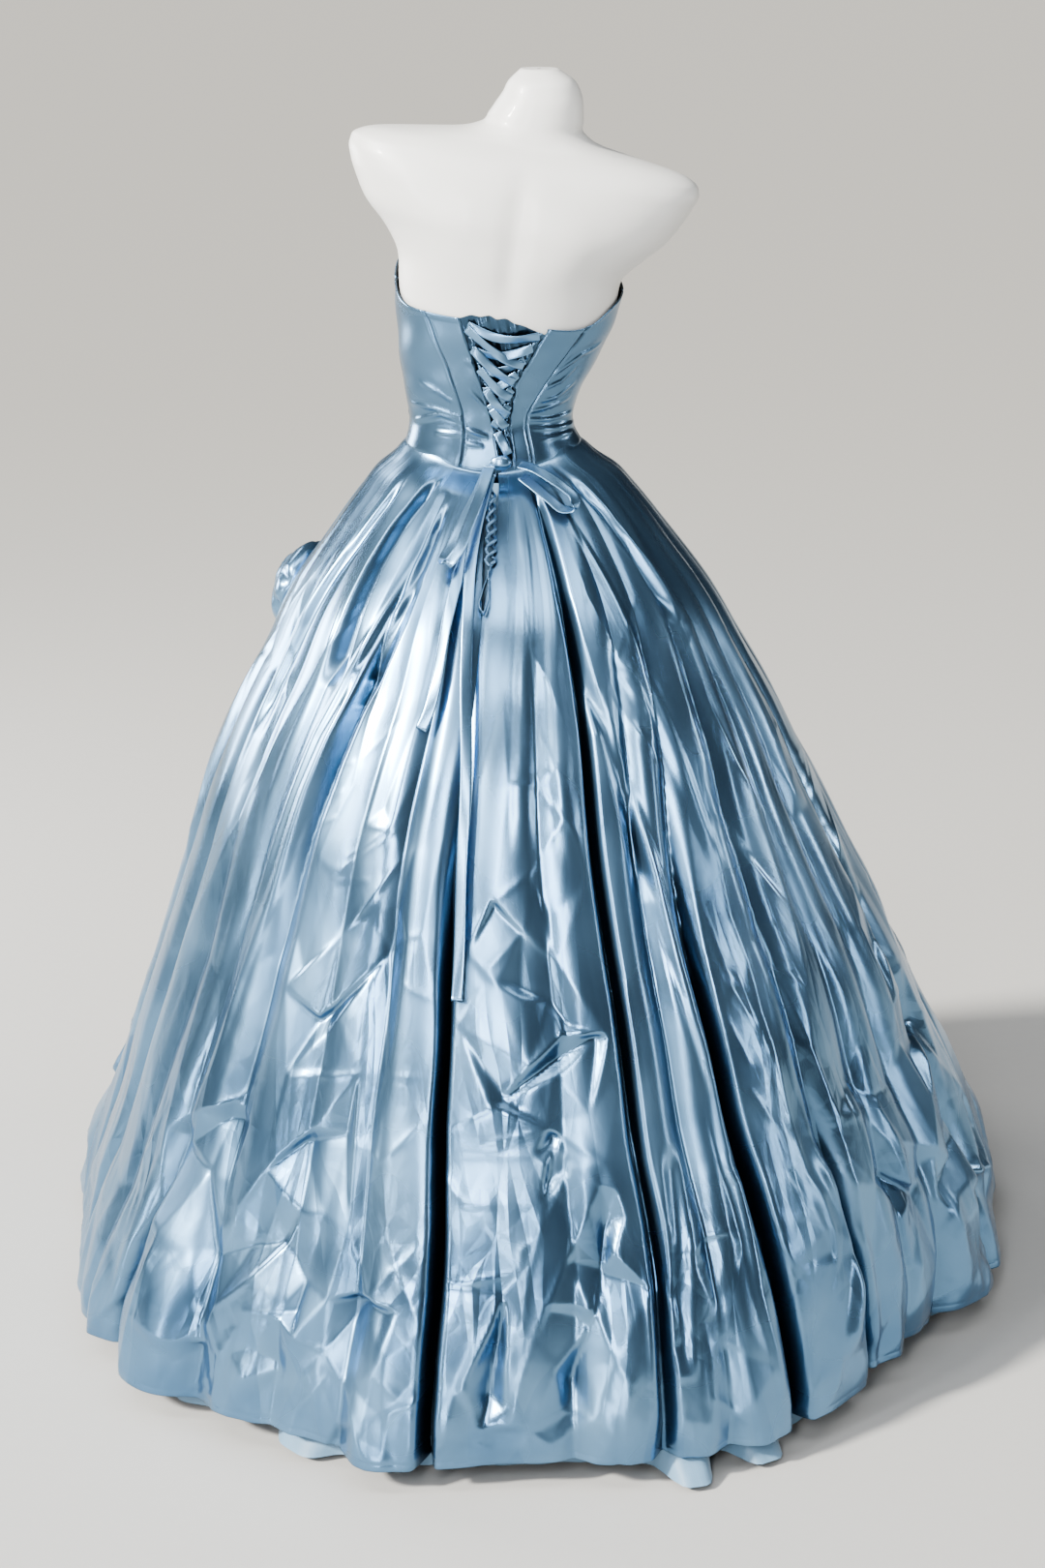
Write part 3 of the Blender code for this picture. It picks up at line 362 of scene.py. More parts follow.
LOOP_RIGHT = (
    (-16.5, 1.084, 0.012), (-20.0, 1.077, 0.012), (-25.0, 1.063, 0.013), (-29.0, 1.051, 0.014),
    (-32.0, 1.050, 0.018), (-34.0, 1.058, 0.022), (-32.0, 1.068, 0.024), (-29.0, 1.076, 0.024),
    (-22.0, 1.087, 0.023), (-17.5, 1.090, 0.021),
)
TAIL_CUP = 0.0009
# How far the tails roll from side to side on their way down, in degrees.
TAIL_ROLL = 16
KNOT_HALF = (0.0135, 0.008, 0.0095)
KNOT_LIFT = 0.024

# Row of loops down the slit, and the ribbon end that hangs under it.
SLIT_LOOPS = 7
SLIT_LOOPS_TOP = 1.075
SLIT_LOOPS_FOOT = 1.004
SLIT_LOOPS_AZIMUTH = 2.9
SLIT_LOOPS_SWING = 1.7
SLIT_LOOPS_RADIUS = 0.0021
SLIT_LOOPS_LIFT = 0.0034
SLIT_END = (
    (2.6, 1.002, 0.0030), (3.8, 0.990, 0.0040), (5.2, 0.974, 0.0050), (5.6, 0.960, 0.0060),
    (4.6, 0.955, 0.0075), (3.5, 0.964, 0.0080), (3.2, 0.980, 0.0070), (3.6, 0.996, 0.0060),
)
SLIT_END_WIDTH = 0.0100

# Rosette of rolled satin on the wearer's left hip.
ROSETTE_AZIMUTH = 117.0
ROSETTE_Z = 0.897
ROSETTE_LIFT = 0.003
ROSETTE_TURNS = 3.83
ROSETTE_CORE = 0.007
ROSETTE_RIM = 0.056
ROSETTE_DEPTH_CORE = 0.050
ROSETTE_DEPTH_RIM = 0.030
ROSETTE_RIPPLE = 0.0015
ROSETTE_PLEATS = 0.0005
ROSETTE_SEAT = 0.34
ROSETTE_LINES = (
    # share of the strip's height, swing outwards
    (0.0, 0.0), (0.18, 0.006), (0.42, 0.009), (0.66, 0.006), (0.86, -0.003), (1.0, -0.011),
)
# Pinched dimples in the outer roll: turn in radians, share of the height, depth.
ROSETTE_DENTS = ((21.66, 0.62, 0.0085), (22.36, 0.50, 0.0075), (20.2, 0.58, 0.006), (19.0, 0.5, 0.005))

# Creases of the skirt round its back, one in each row. The rank says how strong each one is,
# from 2 to 4; a negative rank is a trough. Azimuths in degrees, heights in millimetres.
CREASES = (
    # rank, azimuth, height, azimuth, height, ...
    (4, -65.5, 172, -64, 152, -67.5, 100),
    (3, -58.5, 944, -51.5, 922, -46.5, 938),
    (3, -58, 292, -68.5, 234),
    (2, -56.5, 854, -54, 816),
    (4, -55.5, 354, -56.5, 306, -57, 240),
    (3, -55, 302, -56.5, 246),
    (3, -54.5, 146, -55.5, 98),
    (3, -54, 212, -54.5, 146, -50, 148),
    (-3, -51.5, 274, -58.5, 222),
    (3, -51.5, 922, -58, 920, -53.5, 904, -46.5, 890),
    (-3, -51, 386, -55.5, 354, -64, 354),
    (4, -48, 1052, -52, 1024, -54.5, 994, -55, 968, -53, 930),
    (4, -47.5, 890, -50, 828, -51, 770, -55, 694),
    (4, -45.5, 330, -44.5, 292, -44.5, 248, -43.5, 212, -42, 172, -40, 126),
    (3, -45.5, 316, -49, 268),
    (3, -44.5, 674, -51, 592),
    (3, -44.5, 1028, -49.5, 976, -49, 944),
    (4, -43.5, 678, -42, 614, -43, 600, -42.5, 552, -43, 510, -44.5, 442, -46, 360, -44.5, 312, -45.5, 280),
    (4, -43, 546, -47, 510),
    (3, -42.5, 598, -46.5, 578),
    (3, -41.5, 808, -39.5, 738, -42, 708),
    (3, -41, 960, -34, 936, -33, 900),
    (4, -40.5, 764, -39, 692, -37, 612, -37.5, 564, -36.5, 508, -37, 438, -37, 382, -37.5, 316, -38.5, 292),
    (3, -40.5, 466, -45, 440),
    (3, -40.5, 466, -40.5, 416, -41.5, 362, -42.5, 336),
    (2, -38, 360, -52, 346),
    (4, -37, 352, -37, 318, -38.5, 284, -39, 246, -38.5, 210, -37.5, 172),
    (3, -36.5, 284, -37.5, 254, -38.5, 222),
    (3, -34, 328, -35.5, 298, -34, 270),
    (3, -33, 536, -35.5, 486),
    (3, -32.5, 624, -33, 556, -35, 534),
    (4, -31.5, 426, -34, 384),
    (4, -31, 364, -30.5, 300, -30, 266, -32, 222),
    (3, -30.5, 506, -32.5, 450),
    (3, -29, 656, -29, 628),
    (3, -28, 466, -28, 414, -29, 314),
    (3, -28, 890, -33, 842, -32, 818),
    (4, -26, 996, -25.5, 972, -27.5, 942, -29.5, 906),
    (4, -25, 882, -27.5, 838, -31, 806, -32.5, 762),
    (3, -24, 914, -29.5, 900, -32, 884, -25.5, 888),
    (3, -23.5, 152, -24, 78),
    (3, -22, 298, -23.5, 282, -17, 264),
    (3, -21, 200, -21.5, 160, -23.5, 152),
    (2, -10.5, 742, -6, 704),
    (-4, -10.5, 504, -3, 472, 3.5, 440),
    (3, -9, 276, -13, 234),
    (-4, -8.5, 294, -7.5, 248, -6.5, 210, -6, 192, -3.5, 126, -3, 96),
    (3, -7.5, 920, -10.5, 884, -14.5, 806),
    (3, -7.5, 828, -10, 792, -3, 780),
    (4, -6.5, 320, -3, 260, -1, 218, 0.5, 184),
    (3, -6.5, 210, -8.5, 162, -10, 136, -9.5, 102, -9, 68),
    (3, -6, 192, -2, 146, 1, 82),
    (3, -6, 366, -8.5, 348, -10.5, 342, -11, 314),
    (4, -5.5, 510, -0.5, 478, 3.5, 440),
    (2, -5.5, 508, -12, 506),
    (4, -4, 686, -3.5, 684, 3, 654),
    (3, -4, 680, -1.5, 620),
    (2, -4, 672, -5.5, 594),
    (3, -4, 396, -5, 368, -0.5, 322),
    (2, -3.5, 462, -2.5, 410),
    (-3, -3.5, 396, -1.5, 340),
    (4, -3.5, 392, -2, 370, -0.5, 302, 1.5, 246, 2, 190),
    (3, -3.5, 392, -5, 370, -3, 334, -0.5, 302),
    (3, -3, 780, -6.5, 774, -12.5, 724),
    (3, -2.5, 408, 7, 390),
    (4, -1, 618, 4.5, 582),
    (3, -1, 618, -6, 588),
    (2, -1, 216, -6, 212),
    (3, -0.5, 778, -5, 778, -12.5, 726),
    (-3, 0, 556, -4, 542, -6, 518),
    (4, 0.5, 184, 2, 132, 3, 82),
    (3, 1, 82, -3, 96, -6, 92),
    (3, 2.5, 254, 2, 278, 0, 292),
    (-3, 3, 652, -1, 618),
    (3, 3, 80, 0.5, 74, -1.5, 58),
    (4, 4, 230, 5.5, 190, 8, 136, 9.5, 92),
    (-4, 4, 230, 4.5, 178, 5.5, 112),
    (3, 4, 230, 3.5, 166, 3.5, 106),
    (3, 5, 432, -2.5, 408, -9.5, 370),
    (3, 5.5, 564, 9.5, 518),
    (3, 7.5, 598, 3.5, 566, 0, 552),
    (3, 8, 136, 6, 78),
    (3, 9.5, 92, 6.5, 52),
    (3, 11.5, 404, 4.5, 432),
    (3, 12, 360, 8.5, 326),
    (3, 12, 238, 2.5, 254),
    (3, 12, 364, 8.5, 324),
    (2, 12, 372, 5, 378, -0.5, 380),
    (2, 17.5, 608, 15, 614),
    (3, 18, 558, 12.5, 542),
    (3, 18, 142, 14.5, 114, 13, 134),
    (3, 18, 142, 18.5, 66),
    (2, 19.5, 456, 14, 460),
    (3, 19.5, 356, 18, 290, 16.5, 250, 13.5, 202),
    (3, 20, 360, 14.5, 408),
    (3, 20, 214, 17.5, 248, 14, 280),
    (2, 20, 214, 16, 210),
    (-4, 20, 210, 24.5, 146),
    (3, 22.5, 382, 20.5, 364, 21, 340),
    (3, 23.5, 378, 20, 360),
    (3, 23.5, 282, 25, 204),
    (4, 23.5, 282, 20, 214),
    (2, 23.5, 838, 30, 792),
    (3, 26.5, 724, 20.5, 722, 31, 668),
    (3, 27, 722, 21.5, 724, 30, 682),
    (3, 27, 940, 30.5, 838, 30.5, 764, 35, 678),
    (4, 30, 382, 36.5, 324, 40, 272, 41.5, 210),
    (4, 30.5, 288, 32, 248, 36, 198, 40, 158, 40.5, 132),
    (3, 31.5, 504, 29.5, 594),
    (-3, 32, 498, 21, 584),
    (2, 32, 656, 24.5, 664),
    (-3, 32, 248, 28.5, 212, 29, 176),
    (-3, 32.5, 358, 25, 382),
    (3, 35, 434, 24, 452),
    (2, 35.5, 436, 23.5, 454),
    (3, 35.5, 784, 31, 790),
    (3, 35.5, 748, 32.5, 756),
    (4, 36, 164, 32, 172, 28.5, 156, 24.5, 146, 21, 106, 18, 46),
    (3, 36, 716, 32.5, 728),
    (3, 36.5, 180, 36.5, 82, 34.5, 48),
    (3, 38, 528, 29.5, 596, 19.5, 688),
    (3, 40.5, 366, 42.5, 292, 42, 238),
    (-3, 41.5, 210, 37, 232, 32.5, 246),
    (2, 41.5, 132, 44, 106, 40.5, 108),
    (3, 42.5, 998, 43, 968, 47.5, 930),
    (-2, 46, 32, 44, 80, 42, 100),
    (4, 49, 958, 48.5, 900, 43, 944, 42, 966),
    (3, 49.5, 362, 44, 384, 41, 412),
    (4, 50.5, 218, 51, 114, 51.5, 44),
    (-3, 51, 316, 45, 360),
    (-4, 51.5, 312, 46, 296, 43, 210),
    (4, 54, 800, 55.5, 738, 57.5, 702, 59.5, 664, 58, 642),
    (4, 57, 392, 56.5, 316, 55, 232, 56.5, 178),
    (3, 57.5, 350, 60.5, 270, 59, 234, 59, 176),
    (3, 58.5, 130, 61.5, 48, 54, 124),
    (3, 60, 138, 62, 78),
    (4, 63.5, 986, 63.5, 928, 67, 880, 68, 854),
    (2, 73, 842, 58.5, 834),
    (3, 75.5, 984, 57, 832, 57.5, 756),
)
# Pulled creases of the bodice: rank, then azimuth and height in millimetres along each.
BODICE_CREASES = (
    # rank, azimuth, height, azimuth, height, ...
    (3, 58, 1196, 43, 1186, 32, 1176),
    (3, 71, 1168, 49, 1166, 26, 1158),
    (3, 68, 1148, 44, 1160, 25, 1154),
    (2, 47, 1138, 25, 1138),
    (2, 26, 1228, 15, 1222),
    (2, 19, 1192, 2, 1168),
    (3, 21, 1144, 4, 1136),
    (2, 24, 1128, 8, 1124),
    (4, -45, 1214, -59, 1240, -74, 1252),
    (3, -42, 1196, -53, 1206, -60, 1224),
    (3, -43, 1180, -54, 1184, -65, 1202),
    (3, -34, 1166, -53, 1172, -68, 1180),
    (3, -33, 1156, -53, 1154, -81, 1158),
    (2, -36, 1144, -57, 1142, -94, 1142),
    (2, -41, 1130, -74, 1134),
    (3, 88, 1150, 120, 1158, 150, 1150),
    (2, 95, 1172, 125, 1170, 148, 1176),
    (2, -96, 1152, -125, 1160, -152, 1150),
    (3, -92, 1176, -118, 1172, -148, 1178),
    (2, 168, 1140, 180, 1136, 196, 1142),
)

# Rounded folds that stand out of, or lie sunk in, the skirt's panels.
ROUND_FOLDS = (
    # height and half width in millimetres, then azimuth and height in millimetres along each
    (-19, 14, 34, 1106, 35, 1100, 38.5, 1072, 42, 1036, 43.5, 996, 43.5, 936, 44.5, 858),
    (-12, 12, 25, 1064, 25.5, 1052, 26.5, 1000, 28, 946, 32, 880, 35, 840),
    (3, 10, 22.5, 1054, 24, 1000, 31.5, 944, 36, 876, 40, 806, 42, 744, 44, 650, 48.5, 518, 50, 400),
    (2.5, 9, 25, 1042, 30, 996, 35, 932, 40, 874, 43.5, 806, 46.5, 690, 51, 540, 53, 400),
    (-12, 11, -22, 1090, -22, 1080, -20, 1030, -18.5, 974, -19, 896, -20, 826),
    (3, 15, -11, 1072, -8, 990, -5, 890, -3.5, 788, -3, 700),
    (3, 14, -18, 1070, -15.5, 998, -12, 888, -11, 786, -11, 690),
    (-11, 11, -44.5, 1108, -45.5, 1078, -48.5, 1052, -50.5, 996, -52, 930),
    (3.5, 12, -31, 1060, -33.5, 984, -35, 898, -36.5, 780, -38, 658),
    (6, 12, -24.5, 776, -25.5, 672, -25.5, 566, -25.5, 512, -26.5, 426, -26, 350, -26, 308),
    (4, 12, -15.5, 566, -14.5, 424, -14.5, 334),
    (-6, 14, -21, 878, -22, 806, -23, 734, -23.5, 640),
    (6, 13, -14, 386, -13.5, 284, -13, 178, -13, 102, -13.5, 52),
    (-8, 16, -18.5, 382, -17, 258, -16, 132),
    (7, 22, -40, 340, -42.5, 266, -43.5, 206, -41, 148, -39, 90),
    (5, 12, -25, 364, -26.5, 330, -26.5, 270, -26.5, 214, -27.5, 148, -28, 74),
    (3, 12, 61, 1040, 63, 940, 65, 840, 66, 700),
    (-7, 12, 53, 1090, 56, 1030, 60, 960, 62, 880, 62, 780),
)

# Metres of cloth to a radian round the body, for places on the cloth.
SKIRT_CLOTH_RADIUS, UNDER_CLOTH_RADIUS = 0.6, 0.55
BODICE_CLOTH_RADIUS, MODESTY_CLOTH_RADIUS = 0.11, 0.1
UNDER_LENGTH = 1.15

# Shape of the pressed folds: depth from which a fold counts as full, and over what further depth.
DEEP_FOLD, DEEP_FOLD_RANGE = 0.016, 0.010
HEM_GROOVE, HEM_GROOVE_WIDTH = 0.0004, 0.0012
# How strongly the cloth is crushed: the hip that is crushed less, by place among the folds, and the
# drop from which the cloth near the hem is crushed more.
HIP_PLACE, HIP_SPREAD, HIP_FOOT, HIP_FADE = -4.8, 2.2, 0.62, 0.3
CRUSHED_FROM, CRUSHED_RANGE = 0.8, 0.15
NEAR_HEM_FROM, NEAR_HEM_RANGE = 0.82, 0.08
# A fold narrower than this, in degrees near the hem, has less room for small facets.
ROOMY_FOLD = 10.0

# Relief maps of the skirt: cells round it and down it, and the height of the map's top.
MAP_COLUMNS = 1800
MAP_ROWS = 450
MAP_TOP = 1.124
# Metres down the sloping cloth to a metre of height.
SLOPE = 1.12
SKIRT_LENGTH = 1.16
FACET_SEED = 7
FOLD_ON_MAP = 0.10
DROP_ON_MAP = 0.55
# Copies of the creases round the hidden sides: turn, mirror, lowest and highest azimuth kept.
CREASE_COPIES = ((145.0, -1, 75.0, 205.0), (255.0, 1, 205.0, 292.0))
# Spacing of facet corners, in folds and drop, and how clear they stay of the table's creases.
FACET_STEP = (0.60, 0.110)
FACET_CLEAR = (0.17, 0.036)
SMALL_FACET_STEP = (0.29, 0.056)
CREASE_WIDTH = 0.0028
GATHER_STEP = 15.0
GATHER_HEIGHT = 0.0020
GATHER_WIDTH = 0.0040
# Crisp creases that run up from the hem: spacing in degrees, and how far they reach up.
HEM_CREASE_STEP = 4.5
HEM_CREASE_RISE = (0.03, 0.12)
HEM_CREASE_LEAN = 1.7
HEM_CREASE_RANKS = (2.0, 6.0)
HEM_CREASE_WIDTHS = (1.0, 2.4)
# Folds shallower than this are softened in the cloth, more at the waist than at the hem.
FULL_FOLD = 0.020
FOLD_SOFTENING = (1.4, 0.3)
# Folds deeper than that are deeper and narrower in the cloth than in the frame.
DEEPENING = 0.35
NARROWING = 0.38
WAIST_TUCK = 0.022
# The modesty panel runs on behind the waist seam, down to this height.
MODESTY_TUCK = 1.070

# Stage: lights with place, target, size, power and colour.
LIGHTS = (
    ("key", "SUN", (7.1, 4.1, 5.7), (0.0, 0.0, 0.0), (6.0, 6.0), 14.0, "#FFFCF5"),
    ("window", "AREA", (3.3, 3.8, 3.2), (0.0, 0.2, 0.7), (0.6, 1.8), 145.0, "#F6FAFF"),
    ("fill", "AREA", (0.8, 4.7, 2.9), (0.0, 0.2, 0.8), (0.7, 2.0), 180.0, "#F6FAFF"),
    ("low_window", "AREA", (3.9, 3.3, 0.6), (0.0, 0.3, 0.45), (0.4, 0.9), 32.0, "#F6FAFF"),
    ("low_fill", "AREA", (1.2, 5.2, 0.65), (0.0, 0.3, 0.45), (0.5, 0.9), 48.0, "#F6FAFF"),
    ("rim", "AREA", (2.8, -1.5, 1.35), (0.1, 0.0, 1.1), (1.3, 0.8), 130.0, "#FFFFFF"),
    ("kicker", "AREA", (-3.4, 1.4, 1.3), (0.0, 0.0, 0.9), (0.2, 1.8), 22.0, "#F6FAFF"),
    ("glint", "AREA", (-3.0, -0.6, 1.5), (0.0, 0.0, 1.1), (0.2, 0.5), 12.0, "#FFFFFF"),
    ("sky_left", "AREA", (2.4, 1.4, 4.0), (0.0, 0.0, 0.9), (1.2, 1.2), 80.0, "#F6FAFF"),
    ("sky_top", "AREA", (0.5, 1.7, 4.3), (0.0, 0.2, 0.9), (1.5, 1.1), 56.0, "#F6FAFF"),
    ("sky_right", "AREA", (-1.4, 1.3, 4.2), (0.0, 0.0, 0.9), (1.6, 1.4), 48.0, "#F6FAFF"),
    ("sky_behind", "AREA", (2.6, -3.1, 3.2), (0.2, 0.0, 0.9), (1.2, 1.2), 50.0, "#F6FAFF"),
)
WORLD_STRENGTH = 0.07
CAMERA_LENS = 69.18
CAMERA_PLACE = (0.019, 3.703, 1.866)
CAMERA_TILT = 17.96


def smooth_lookup(positions, values, at):
    """A smooth curve through a table's rows, read at one or many positions."""
    xs, ys, at = np.asarray(positions, float), np.asarray(values, float), np.asarray(at, float)
    slopes = np.gradient(ys, xs)
    at = np.clip(at, xs[0], xs[-1])
    i = np.clip(np.searchsorted(xs, at) - 1, 0, len(xs) - 2)
    step = xs[i + 1] - xs[i]
    t = (at - xs[i]) / step
    rise = ys[i + 1] - ys[i]
    ease = t * t * (3 - 2 * t)
    return ys[i] + rise * ease + step * t * (1 - t) * (slopes[i] * (1 - t) - slopes[i + 1] * t)


def ramp(value, start, length):
    """0 up to the start and 1 from one length past it."""
    return np.clip((value - start) / length, 0, 1)


def clamped(value):
    """A number kept between 0 and 1."""
    return min(max(value, 0.0), 1.0)


def beside_line(x, y, way, length):
    """How far along a stretch of a line places lie and how far off it, from the stretch's start."""
    t = np.clip((x * way[0] + y * way[1]) / max(length * length, 1e-12), 0, 1)
    return t * length, np.hypot(x - t * way[0], y - t * way[1])


def signed(azimuth):
    """The same azimuth between -180 and 180."""
    return (azimuth + 180) % 360 - 180


def oval(side, rear, half_width, depth):
    """Radius of a body section, a rounded oval, in one direction."""
    return (np.abs(side / half_width) ** SECTION_POWER
            + np.abs(rear / depth) ** SECTION_POWER) ** (-1 / SECTION_POWER)


def crease_points(row):
    """Azimuths and heights, in metres, of a table's row of azimuths and heights in millimetres."""
    return np.array(row, float).reshape(-1, 2) * (1, 0.001)


def body_row(height):
    """Centre, half width, back and front depth and tilt of the body at a ring height."""
    return [smooth_lookup(BODY[:, 0], BODY[:, k], height) for k in range(1, BODY.shape[1])]


def bust(azimuth, height):
    """How far the bust stands out of the plain section."""
    across = (np.abs(signed(azimuth)) - BUST_AZIMUTH) / BUST_HALF_ANGLE
    up = (height - BUST_Z) / BUST_HALF_HEIGHT
    return BUST_RISE * np.exp(-across ** 2 - up ** 2)


def body_point(azimuth, height, lift=0.0):
    """A point on the body's surface, or lifted off it."""
    azimuth, height = np.asarray(azimuth, float), np.asarray(height, float)
    centre_x, centre_y, half_width, back, front, tilt = body_row(height)
    side, rear = np.sin(np.radians(azimuth)), np.cos(np.radians(azimuth))
    depth = np.where(rear > 0, back, front)
    radius = oval(side, rear, half_width, depth) + lift + bust(azimuth, height)
    lean = np.radians(tilt)
    return np.stack([
        centre_x + radius * side * np.cos(lean),
        centre_y + radius * rear,
        height + radius * side * np.sin(lean),
    ], -1)


def body_normal(azimuth, height):
    """Outward direction of the body's surface."""
    around = body_point(azimuth + 0.5, height) - body_point(azimuth - 0.5, height)
    up = body_point(azimuth, height + 0.002) - body_point(azimuth, height - 0.002)
    return unit_rows(np.cross(up, around))


def seam_azimuth(name, height):
    table = np.array(SEAMS[name])
    return np.interp(height, table[:, 0], table[:, 1])


def top_edge(azimuth):
    table = np.array(TOP_EDGE)
    return smooth_lookup(table[:, 0], table[:, 1], np.asarray(azimuth, float) % 360)


def waist_edge(azimuth):
    return WAIST_Z + WAIST_SIDE_RISE * np.sin(np.radians(azimuth)) ** 2


def skirt_row(height):
    return [smooth_lookup(SKIRT[:, 0], SKIRT[:, k], height) for k in (1, 2)]


def waist_radius(azimuth):
    """Radius of the waist seam's section, from the axis of the skirt."""
    side, rear = np.sin(np.radians(azimuth)), np.cos(np.radians(azimuth))
    _, _, half_width, back, front, _ = body_row(WAIST_Z)
    depth = np.where(rear > 0, back, front) + FORM_TO_BODICE + SATIN
    return oval(side, rear, half_width + FORM_TO_BODICE + SATIN, depth)


def skirt_radius(azimuth, height):
    """Outer radius of the skirt: the waist's oval near the seam, round lower down."""
    radius, _ = skirt_row(height)
    drop = np.clip((waist_edge(azimuth) - height) / 0.16, 0, 1)
    at_seam, _ = skirt_row(waist_edge(azimuth))
    return radius + (waist_radius(azimuth) - at_seam) * (1 - drop) ** 2


def fold_azimuth(fold, drop):
    """Where a valley lies at a drop from 0, the waist, to 1, the hem."""
    turn = 360.0 * (fold // len(FOLDS))
    return smooth_lookup((0.0, 0.45, 1.0), FOLDS[fold % len(FOLDS), :3], drop) + turn


def fold_depth(fold, drop):
    high, knee, hem = FOLDS[fold % len(FOLDS), 3:6]
    return np.interp(drop, (0.0, 0.06, 0.25, 0.62, 1.0), (0.0025, 0.5 * high, high, knee, hem))


def fold_half_angle(fold, drop, radius):
    """Half a valley's width in degrees: its own width at the hem, less where folds crowd together."""
    half_width = FOLDS[fold % len(FOLDS), 6] * (0.45 + 0.55 * drop)
    before = fold_azimuth(fold, drop) - fold_azimuth(fold - 1, drop)
    after = fold_azimuth(fold + 1, drop) - fold_azimuth(fold, drop)
    return np.minimum(np.degrees(half_width / radius), 0.46 * np.minimum(before, after))


def hem_column(azimuth, column):
    """One column of the hem's table, read round the body."""
    around = (np.asarray(azimuth, float) + 10) % 360 - 10
    return smooth_lookup(HEM[:, 0], HEM[:, column], around)


def hem_swing(azimuth, drop):
    """How far the skirt swings in or out of the round, growing towards the hem."""
    return hem_column(azimuth, 1) * ramp(drop, 0.55, 0.45) ** 1.5


def skirt_height(azimuth, drop):
    top = waist_edge(azimuth) - WAIST_GAP
    hem = HEM_Z + hem_column(azimuth, 2)
    return top + (hem - top) * drop


def round_point(azimuth, radius, height):
    """A point at a radius from the skirt's axis."""
    _, centre_x = skirt_row(height)
    turn = np.radians(azimuth)
    return np.stack([centre_x + radius * np.sin(turn), radius * np.cos(turn), height], -1)


def skirt_point(azimuth, drop, inset=0.0):
    """A point on the skirt: drop runs from 0 at the waist seam to 1 at the hem."""
    height = skirt_height(azimuth, drop)
    return round_point(azimuth, skirt_radius(azimuth, height) + hem_swing(azimuth, drop) - inset, height)


def skirt_frame(azimuth, height, lift=0.0):
    """A point lifted off the skirt's ridges, and the outward direction there."""
    def at(az, z):
        radius, (_, centre_x) = skirt_radius(az, z), skirt_row(z)
        turn = math.radians(az)
        return np.array([float(centre_x + radius * math.sin(turn)), float(radius * math.cos(turn)), z])

    here = at(azimuth, height)
    across = at(azimuth + 1, height) - at(azimuth - 1, height)
    down = at(azimuth, height - 0.01) - at(azimuth, height + 0.01)
    normal = np.cross(down, across)
    normal /= np.linalg.norm(normal)
    if normal @ np.array([math.sin(math.radians(azimuth)), math.cos(math.radians(azimuth)), 0]) < 0:
        normal = -normal
    return here + normal * lift, normal


def unit(vector):
    return vector / np.linalg.norm(vector)


def unit_rows(vectors):
    return vectors / np.linalg.norm(vectors, axis=-1, keepdims=True)


def linear(colour):
    """Linear red, green, blue and alpha from an sRGB hex value."""
    channels = [int(colour[k:k + 2], 16) / 255 for k in (1, 3, 5)]
    return [c / 12.92 if c <= 0.04045 else ((c + 0.055) / 1.055) ** 2.4 for c in channels] + [1.0]


def length_property(name, description, default, low, high):
    """A length in metres that the sidebar shows."""
    return FloatProperty(
        name=name, description=description, default=default, min=low, max=high, unit="LENGTH",
    )


def colour_property(name, description, colour):
    """A colour that the sidebar shows, from its sRGB hex value."""
    return FloatVectorProperty(
        name=name, description=description, subtype="COLOR", size=4, default=linear(colour), min=0.0, max=1.0,
    )


class GownSizes(bpy.types.PropertyGroup):
    """Sizes of the needlework and of the cloth's relief."""

    cloth: length_property("Cloth thickness", "Thickness of the satin at its edges", 0.0009, 0.0003, 0.002)
    hem: length_property("Hem depth", "Depth of the turn-up of the skirt's hem", 0.009, 0.004, 0.03)
    binding: length_property("Top binding", "Width of the bound top edge of the bodice", 0.005, 0.002, 0.012)
    facet: length_property("Facet height", "How far the crumpled facets stand out", 0.0100, 0.0, 0.02)
    crease: length_property("Crease height", "How far a crease of rank 1 stands out", 0.00045, 0.0, 0.002)
    bulge: length_property("Fold fullness", "How far folds swell out between valleys", 0.006, 0.0, 0.012)


class GownColours(bpy.types.PropertyGroup):
    """Colours of the gown, the form and the stage."""

    satin: colour_property("Satin", "Ice blue of the satin", "#6F98BA")
    # Deeper blue used both for random mottling and for painted shade on some shards.
    satin_deep_and_painted_facet_shade: colour_property("Satin, deep", "Deeper blue where the satin's floats lie away", "#426A90")
    # Painted shade: the navy that the satin's base colour is darkened to deep inside its folds.
    satin_painted_fold_shade: colour_property("Satin, in folds", "Navy of the satin deep inside its folds", "#1E3040")
    lining: colour_property("Lining", "Pale blue of the underskirt", "#5F829C")
    form: colour_property("Form", "Off-white of the torso", "#CFCDC8")
    steel: colour_property("Stand", "Powder coat of the pole and base", "#D8D6CF")
    floor: colour_property("Floor", "Plain pale floor", "#A3A19D")


def toned(colour, tone):
    """A colour made lighter or darker."""
    return (*(channel * tone for channel in colour[:3]), 1.0)


def add_node(tree, kind, inputs=None, **settings):
    """Adds a node; inputs maps a socket's name or number to a value or to another node's socket."""
    node = tree.nodes.new(kind)
    for name, value in settings.items():
        setattr(node, name, value)
    for name, value in (inputs or {}).items():
        if isinstance(value, bpy.types.NodeSocket):
            tree.links.new(value, node.inputs[name])
        else:
            node.inputs[name].default_value = value
    return node


def blank_material(name, **shader_values):
    """A material with one Principled shader; underscores in the names stand for spaces."""
    material = bpy.data.materials.get(name)
    if material is not None:
        bpy.data.materials.remove(material)
    material = bpy.data.materials.new(name)
    material.use_nodes = True
    shader = material.node_tree.nodes["Principled BSDF"]
    for socket, value in shader_values.items():
        shader.inputs[socket.replace("_", " ")].default_value = value
    return material, material.node_tree, shader
